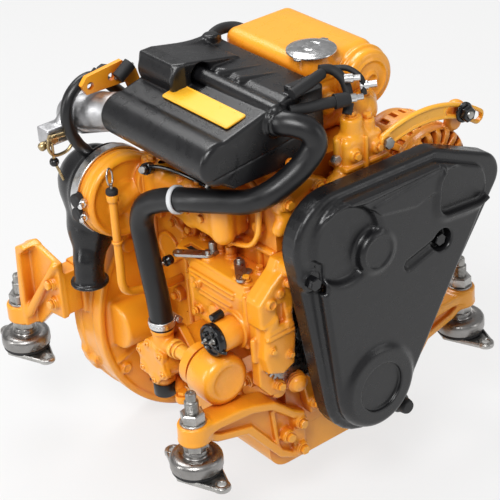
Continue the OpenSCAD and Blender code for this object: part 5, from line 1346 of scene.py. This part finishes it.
breather_line = [
    (-30, -66, 245), (-30, -56, 245), (-36, -50, 246), (-60, -46, 256), (-90, -46, 284), (-112, -46, 308),
    (-130, -50, 321), (-148, -52, 322), (-165, -53, 311), (-173, -54, 294), (-172, -54, 272), (-162, -54, 250),
    (-153, -53, 239), (-149, -52, 232)
]
breather = Kit("breather_hose_tube", hose_rubber, "rubber", nodes=["breather_hose"], smooth=60)
breather.put(pipe(smooth_path(breather_line, 6), 7.0, 24))
breather.done()
eye_parts = Kit("lifting_eye_bolts", dull_zinc, "zinc_steel")
for x, z in ((-66, 190), (-54, 190)):
    hex_bolt(eye_parts, (x, -64, z), FRONT, 5.4, 4.6, 7)
eye_parts.put(pipe(smooth_path([(-112, -66, 318), (-108, -72, 326), (-96, -72, 330), (-88, -66, 328)], 5), 2, 10))
eye_parts.done()
eye_box = Kit("breather_clip", flat_black, "black_plastic", smooth=45)
eye_box.put(pipe([(-114, -74, 322), (-96, -74, 334)], [7.5, 7.5], 16))
eye_box.put(hexagon(7, 7), (-120, -56, 326), (-0.4, -0.2, 1))
eye_box.put(pipe([(-131, -54, 321), (-124, -54, 326)], 8.6, 20))
eye_box.done()


# Exhaust manifold with its nuts and sender, and the relief on the left side of the block

def manifold_field(p):
    d = box(p, (-117, -245, 178), (-72, -101, 226), 11)
    for v in (-215, -125):
        d = join(5, d, box(p, (-92, v - 30, 182), (-74, v + 30, 224), 4))
    for v in (-236, -184, -130):
        d = join(4, d, limb(p, (-104, v, 186), (-104, v, 222), 13, 13))
    d = join(3, d, rod(p, Y, (-98, 202), -105, -95, 24, 2))
    d = rods(2.5, d, p, Z, [(-104, v) for v in (-242, -196, -166, -100)], 200, 230, 6.5, 1.5)
    d = join(3, d, box(p, (-116, -232, 196), (-110, -120, 208), 3))
    return np.maximum(d, -249 - p[Y])


casting(
    "exhaust_manifold_casting", manifold_field, (-122, -250, 172), (-71, -93, 232), 1.4, enamel,
    ["exhaust_manifold"]
)
manifold_bolts = Kit("exhaust_manifold_nuts", painted_bolt, "enamel")
for v in (-242, -196, -166, -110):
    hex_bolt(manifold_bolts, (-104, v, 229.6), UP, 5.2, 4.4, 6.6, v)
for v in (-216, -190, -160, -132):
    hex_bolt(manifold_bolts, (-116, v, 202), LEFT, 4.8, 4, 6, v)
manifold_bolts.done()
sender = Kit("exhaust_temperature_sender", gloss_black, "black_plastic", smooth=45)
sender_way, gauge_way = (-0.8, -0.4, 0.3), (-0.9, -0.3, 0.2)
sender.put(solid([(7, 0), (7, 9), (5, 10), (5, 16)], 24), (-120, -128, 232), sender_way)
sender.put(solid([(6, 0), (6, 7), (3, 9), (3, 12)], 24), (-126, -160, 130), gauge_way)
sender.put(pipe(smooth_path([
    (-126, -128, 236), (-118, -150, 240), (-110, -176, 238), (-104, -200, 234), (-98, -214, 226)
], 6), 2.2, 10))
sender.done()
sender_tip = Kit("sender_terminals", zinc, "zinc_steel", smooth=45)
sender_tip.put(solid([(4, 0), (4, 5)], 18), (-132, -134, 236.6), sender_way)
sender_tip.put(threaded(2, 9, 1), (-139, -165, 133), gauge_way)
sender_tip.done()

# Bosses on the side of the block: middle, radius and how far out they reach. All but the plain one have a bolt
plain_boss = (-78, 140, 7, 82)
side_bosses = (
    (-150, 150, 9, 88), (-136, 128, 8, 86), (-154, 110, 7, 90), (-112, 142, 8, 84), (-140, 84, 9, 85), plain_boss,
    (-104, 40, 9, 84), (-232, -20, 9, 84), (-96, -30, 8, 84)
)


def side_field(p):
    # Ribs, core plugs and bosses on the left side of the block and the head
    d = rod(p, X, (-88, 96), -79, -70, 20, 1.5)
    d = cut(1.5, d, rod(p, X, (-88, 96), -90, -77.5, 16, 1))
    d = join(2, d, rod(p, X, (-250, 20), -79, -70, 17, 1.5))
    for v in (-262, -205, -170, -120, -62):
        d = join(3, d, limb(p, (-75, v, -50), (-75, v, 168), 4.2))
    for w in (168, -56):
        d = join(3, d, limb(p, (-75, -284, w), (-75, -60, w), 5))
    d = join(3, d, limb(p, (-75, -170, 130), (-75, -60, 60), 3.5))
    for v, w, r, out in side_bosses:
        d = join(3, d, rod(p, X, (v, w), -out, -70, r, 1.5))
    d = join(4, d, limb(p, (-82, -150, 150), (-86, -154, 110), 5), limb(p, (-80, -136, 128), (-80, -112, 142), 4))
    for v in (-266, -240, -190, -150, -100, -76):
        d = join(2, d, rod(p, X, (v, 196), -84 if v < -250 or v > -90 else -79, -70, 7, 1.5))
    return np.maximum(d, p[X] + 72)


casting("block_side_relief", side_field, (-92, -292, -62), (-71.5, -56, 206), 1.4, enamel)
side_bolts = Kit("block_side_bolts", painted_bolt, "enamel")
for boss in side_bosses:
    if boss != plain_boss:
        v, w, r, out = boss
        hex_bolt(side_bolts, (-out + 0.4, v, w), LEFT, 5, 4, 6.2, v)
side_bolts.done()


# Dipstick with its tube, and the injection lines

dipstick_place = (-166, -118)
grip_turn = 0.52


def grip_point(t):
    # Point of the loop at the top of the dipstick, turned by grip_turn about it and leaning back as it rises
    swing = 6.6 * math.sin(t)
    return (
        dipstick_place[0] + swing * math.cos(grip_turn),
        dipstick_place[1] + swing * math.sin(grip_turn) + 2.5 * (1 - math.cos(t)) / 2,
        233.5 - 9.6 * math.cos(t)
    )


stick = Kit("dipstick_handle", zinc, "zinc_steel", "dipstick_rod", nodes=["dipstick"], smooth=50)
stick.put(pipe([(*dipstick_place, 106), (*dipstick_place, 226)], 1.8, 14))
loop = [grip_point(2 * math.pi * k / 36) for k in range(37)]
stick.put(pipe(loop, 1.15, 10))
stick.done()
stopper = Kit("dipstick_stopper", flat_black, "black_plastic", "dipstick_rod", smooth=50)
stopper.put(solid([(6.4, 0), (7, 0.8), (7, 4.4), (6.2, 5.6), (2.6, 6.4)], 30), (*dipstick_place, 213.4))
stopper.done()
tube = Kit("dipstick_tube_pipe", enamel, "enamel", nodes=["dipstick_tube"], smooth=60)
tube_bend = [
    (-75, -106, 62), (-92, -106, 62), (-112, -108, 66), (-138, -112, 74), (-159, -116, 84), (*dipstick_place, 98),
    (*dipstick_place, 116)
]
tube.put(pipe(smooth_path(tube_bend, 5) + [Vector((*dipstick_place, 211))], 5, 24))
tube.put(ring_part(7, 2.6, 9, 0.8, 32), (*dipstick_place, 204))
tube.put(ring_part(6.4, 4.6, 4, 0.6, 32), (*dipstick_place, 150))
tube.done()

front_line = [
    (-86, -222, 148), (-86, -222, 158), (-86, -236, 167), (-85, -256, 171), (-83, -266, 184), (-81, -268, 210),
    (-78, -264, 232), (-72, -250, 240), (-69, -232, 240), (-69, -218, 237), (-69, -215, 228), (-69, -215, 214)
]
rear_line = [
    (-86, -204, 148), (-86, -204, 157), (-91, -216, 167), (-93, -246, 172), (-93, -268, 180), (-91, -279, 196),
    (-88, -280, 216), (-83, -276, 236), (-79, -262, 246), (-78, -230, 247), (-78, -180, 247), (-76, -144, 246),
    (-70, -129, 240), (-69, -125, 228), (-69, -125, 214)
]
lines = Kit("injection_pipes", painted_bolt, "zinc_steel", nodes=["injection_lines"], smooth=60)
for way in (front_line, rear_line):
    lines.put(pipe(smooth_path(way, 6), 3, 16))
    for q in (way[0], way[-1]):
        lines.put(hexagon(6.4, 9), (q[0], q[1], q[2] if q is way[0] else q[2] + 2), UP, 11)
lines.done()


# Electrical parts between the silencer and the tank

wires = Kit("connector_rail", flat_black, "black_plastic", smooth=45)
wires.put(pipe([(-40, -286, 346), (-14, -284, 350), (10, -276, 350)], [6, 6.6, 6], 16))
wires.put(pipe(smooth_path([(-42, -284, 327), (-26, -291, 327), (-10, -297, 328), (4, -302, 328)], 5), 6.2, 18))
wires.put(pipe([(4, -302, 328), (20, -308, 328)], [8.4, 7.4], 18))
wires.put(pipe(smooth_path([
    (12, -270, 352), (24, -276, 350), (30, -288, 340), (28, -298, 322), (20, -303, 308)
], 5), 5.4, 16))
wires.put(pipe(smooth_path([(34, -268, 346), (44, -280, 346), (48, -296, 338), (46, -302, 322)], 5), 3.4, 12))
wires.put(pipe(smooth_path([
    (-6, -104, 340), (4, -96, 343), (20, -92, 344), (34, -96, 343), (42, -104, 340)
], 6), 6.5, 18))
wires.done()
plugs = Kit("connector_pins", silver_band, "zinc_steel", smooth=45)
plugs.put(solid([(5, 0), (5, 9), (3.4, 10), (3.4, 17)], 22), (24, -296, 346), (0.8, -0.6, 0))
plugs.put(solid([(5.4, 0), (5.4, 8), (4, 9), (4, 18)], 22), (46, -296, 330), (0.8, -0.6, 0.1))
plugs.put(solid([(5, 0), (5, 7), (3.4, 8), (3.4, 15)], 22), (20, -308, 328), (0.9, -0.4, 0))
plugs.put(hexagon(6.4, 6), (0, -303, 262), FRONT)
plugs.done()


# Drive belt, and the impeller of the raw water pump

pulleys = [((0, 0), 50), (coolant_axis, 32), (alternator_axis, 27)]
belt_front = -339


def belt_field(p):
    x, y, z = p
    hull = None
    q = (x, np.zeros_like(y), z)
    for (a, ra), (b, rb) in zip(pulleys, pulleys[1:] + pulleys[:1]):
        part = limb(q, (a[0], 0, a[1]), (b[0], 0, b[1]), ra, rb)
        hull = part if hull is None else np.minimum(hull, part)
    hull = np.minimum(hull, outline(x, z, [pulley[0] for pulley in pulleys]))
    d = np.maximum(np.abs(hull - 3.6) - 3.6, between(y, belt_front, belt_front + 10))
    grooves = np.abs(((y - belt_front) / 2.5) % 1 - 0.5) * 2.5 - 0.55
    return cut(0.2, d, np.maximum(np.maximum(-grooves, np.abs(hull - 0.2) - 1.2), between(y, -338.6, -329.4)))


casting("ribbed_belt", belt_field, (-75, -341, -60), (176, -327, 244), 1.5, soft_rubber, ["drive_belt"])
rotor = Kit("flexible_impeller", soft_rubber, "rubber", "raw_water_rotor", nodes=["raw_water_impeller"])
rotor.put(ring_part(12, 6.2, 20, 0.6, 36), (-159.5, *pump_axis), (1, 0, 0))
for k in range(8):
    for x in (-158, -141):
        blade = [(x, *around(pump_axis, r, [45 * k])[0]) for r in (11, 20)]
        rotor.put(pipe(blade, [1.6, 2.2], 12))
rotor.done()


# Materials of the CAD nodes that show as they are

looks = {
    enamel: [
        "crankcase", "cylinder_head", "rocker_cover", "sump", "alternator_pivot", "intake_manifold", "lifting_eye"
    ],
    black_plastic: ["oil_filler_cap", "crank_pulley"],
    zinc: ["speed_lever", "stop_lever"],
    machined: ["crank_gear", "cam_gear", "piston_front", "piston_rear", "flywheel", "starter_pinion"],
    cast_iron: ["crankshaft", "camshaft", "pump_rotor"],
    cast_aluminium: ["alternator_rotor", "starter"],
}
for material, names in looks.items():
    for name in names:
        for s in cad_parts[name].material_slots:
            s.material = material


# Floor, light and camera

def world_light(strength):
    # A soft grey sky lights the engine, and the camera sees plain white in its place
    w = bpy.data.worlds.new("studio")
    bpy.context.scene.world = w
    w.use_nodes = True
    nodes, links = w.node_tree.nodes, w.node_tree.links
    nodes.clear()
    out = nodes.new("ShaderNodeOutputWorld")
    soft = nodes.new("ShaderNodeBackground")
    soft.inputs["Strength"].default_value = strength
    place = nodes.new("ShaderNodeTexCoord")
    split = nodes.new("ShaderNodeSeparateXYZ")
    links.new(place.outputs["Generated"], split.inputs[0])
    height = spread(nodes, links, split.outputs["Z"], 0, 1, -1, 1)
    sky = ramp(nodes, links, height, [(0.0, (0.75, 0.75, 0.76)), (0.5, (0.8, 0.8, 0.81)), (1.0, (1, 1, 1))])
    links.new(sky, soft.inputs["Color"])
    white = nodes.new("ShaderNodeBackground")
    white.inputs["Color"].default_value = (1, 1, 1, 1)
    white.inputs["Strength"].default_value = 1.0
    ray = nodes.new("ShaderNodeLightPath")
    pick = nodes.new("ShaderNodeMixShader")
    links.new(ray.outputs["Is Camera Ray"], pick.inputs[0])
    links.new(soft.outputs[0], pick.inputs[1])
    links.new(white.outputs[0], pick.inputs[2])
    links.new(pick.outputs[0], out.inputs[0])


def softbox(name, place, target, size, power):
    light = bpy.data.lights.new(name, "AREA")
    light.shape = "RECTANGLE"
    light.size, light.size_y = size
    light.energy = power
    o = bpy.data.objects.new(name, light)
    bpy.context.scene.collection.objects.link(o)
    o.location = place
    o.rotation_mode = "QUATERNION"
    o.rotation_quaternion = (Vector(target) - Vector(place)).to_track_quat("-Z", "Y")


def studio_floor(level):
    # A pale floor that takes soft shadows, and glows for the camera and in reflections
    mesh = bpy.data.meshes.new("floor")
    half = 12.0
    corners = [(x * half, y * half, level) for x, y in ((-1, -1), (1, -1), (1, 1), (-1, 1))]
    mesh.from_pydata(corners, [], [(0, 1, 2, 3)])
    o = bpy.data.objects.new("floor", mesh)
    bpy.context.scene.collection.objects.link(o)
    m = bpy.data.materials.new("floor")
    m.use_nodes = True
    nodes, links = m.node_tree.nodes, m.node_tree.links
    shader = nodes["Principled BSDF"]
    shader.inputs["Base Color"].default_value = (0.62, 0.62, 0.62, 1)
    shader.inputs["Roughness"].default_value = 0.85
    shader.inputs["Specular IOR Level"].default_value = 0.1
    glow = nodes.new("ShaderNodeEmission")
    ray = nodes.new("ShaderNodeLightPath")
    seen = nodes.new("ShaderNodeMath")
    seen.operation = "MAXIMUM"
    links.new(ray.outputs["Is Camera Ray"], seen.inputs[0])
    links.new(ray.outputs["Is Glossy Ray"], seen.inputs[1])
    share = spread(nodes, links, seen.outputs[0], 0.0, 0.74)
    pick = nodes.new("ShaderNodeMixShader")
    links.new(share, pick.inputs[0])
    links.new(shader.outputs[0], pick.inputs[1])
    links.new(glow.outputs[0], pick.inputs[2])
    links.new(pick.outputs[0], nodes["Material Output"].inputs["Surface"])
    mesh.materials.append(m)


world_light(strength=0.42)
engine_middle = (0, -0.1, 0.1)
softbox("key", (-1.5, -1.2, 2.2), engine_middle, size=(1.0, 1.0), power=56)
softbox("top", (0.1, 1.0, 2.1), (0, -0.15, 0.15), size=(1.6, 0.7), power=30)
softbox("side", (-2.3, 0.6, 0.9), engine_middle, size=(0.4, 1.6), power=16)
softbox("front", (1.4, -2.2, 0.9), engine_middle, size=(0.9, 1.2), power=6)
studio_floor(level=-0.1656)

view = bpy.context.scene.view_settings
view.view_transform = "Standard"

# The camera of the photo
camera_place = (-1.0850, -1.5814, 1.1305)
azimuth, elevation, roll = (math.radians(a) for a in (-37.03, 30.17, -3.94))
back = Vector((
    math.sin(azimuth) * math.cos(elevation), -math.cos(azimuth) * math.cos(elevation), math.sin(elevation)
))
right = Vector((math.cos(azimuth), math.sin(azimuth), 0))
up = back.cross(right)
turned_right = right * math.cos(roll) + up * math.sin(roll)
turned_up = up * math.cos(roll) - right * math.sin(roll)
lens = bpy.data.cameras.new("camera")
lens.sensor_width = 36.0
lens.lens = 127.17
lens.clip_start, lens.clip_end = 0.05, 50
camera = bpy.data.objects.new("camera", lens)
bpy.context.scene.collection.objects.link(camera)
camera.matrix_world = Matrix((
    *((turned_right[i], turned_up[i], back[i], camera_place[i]) for i in range(3)),
    (0, 0, 0, 1)
))
bpy.context.scene.camera = camera
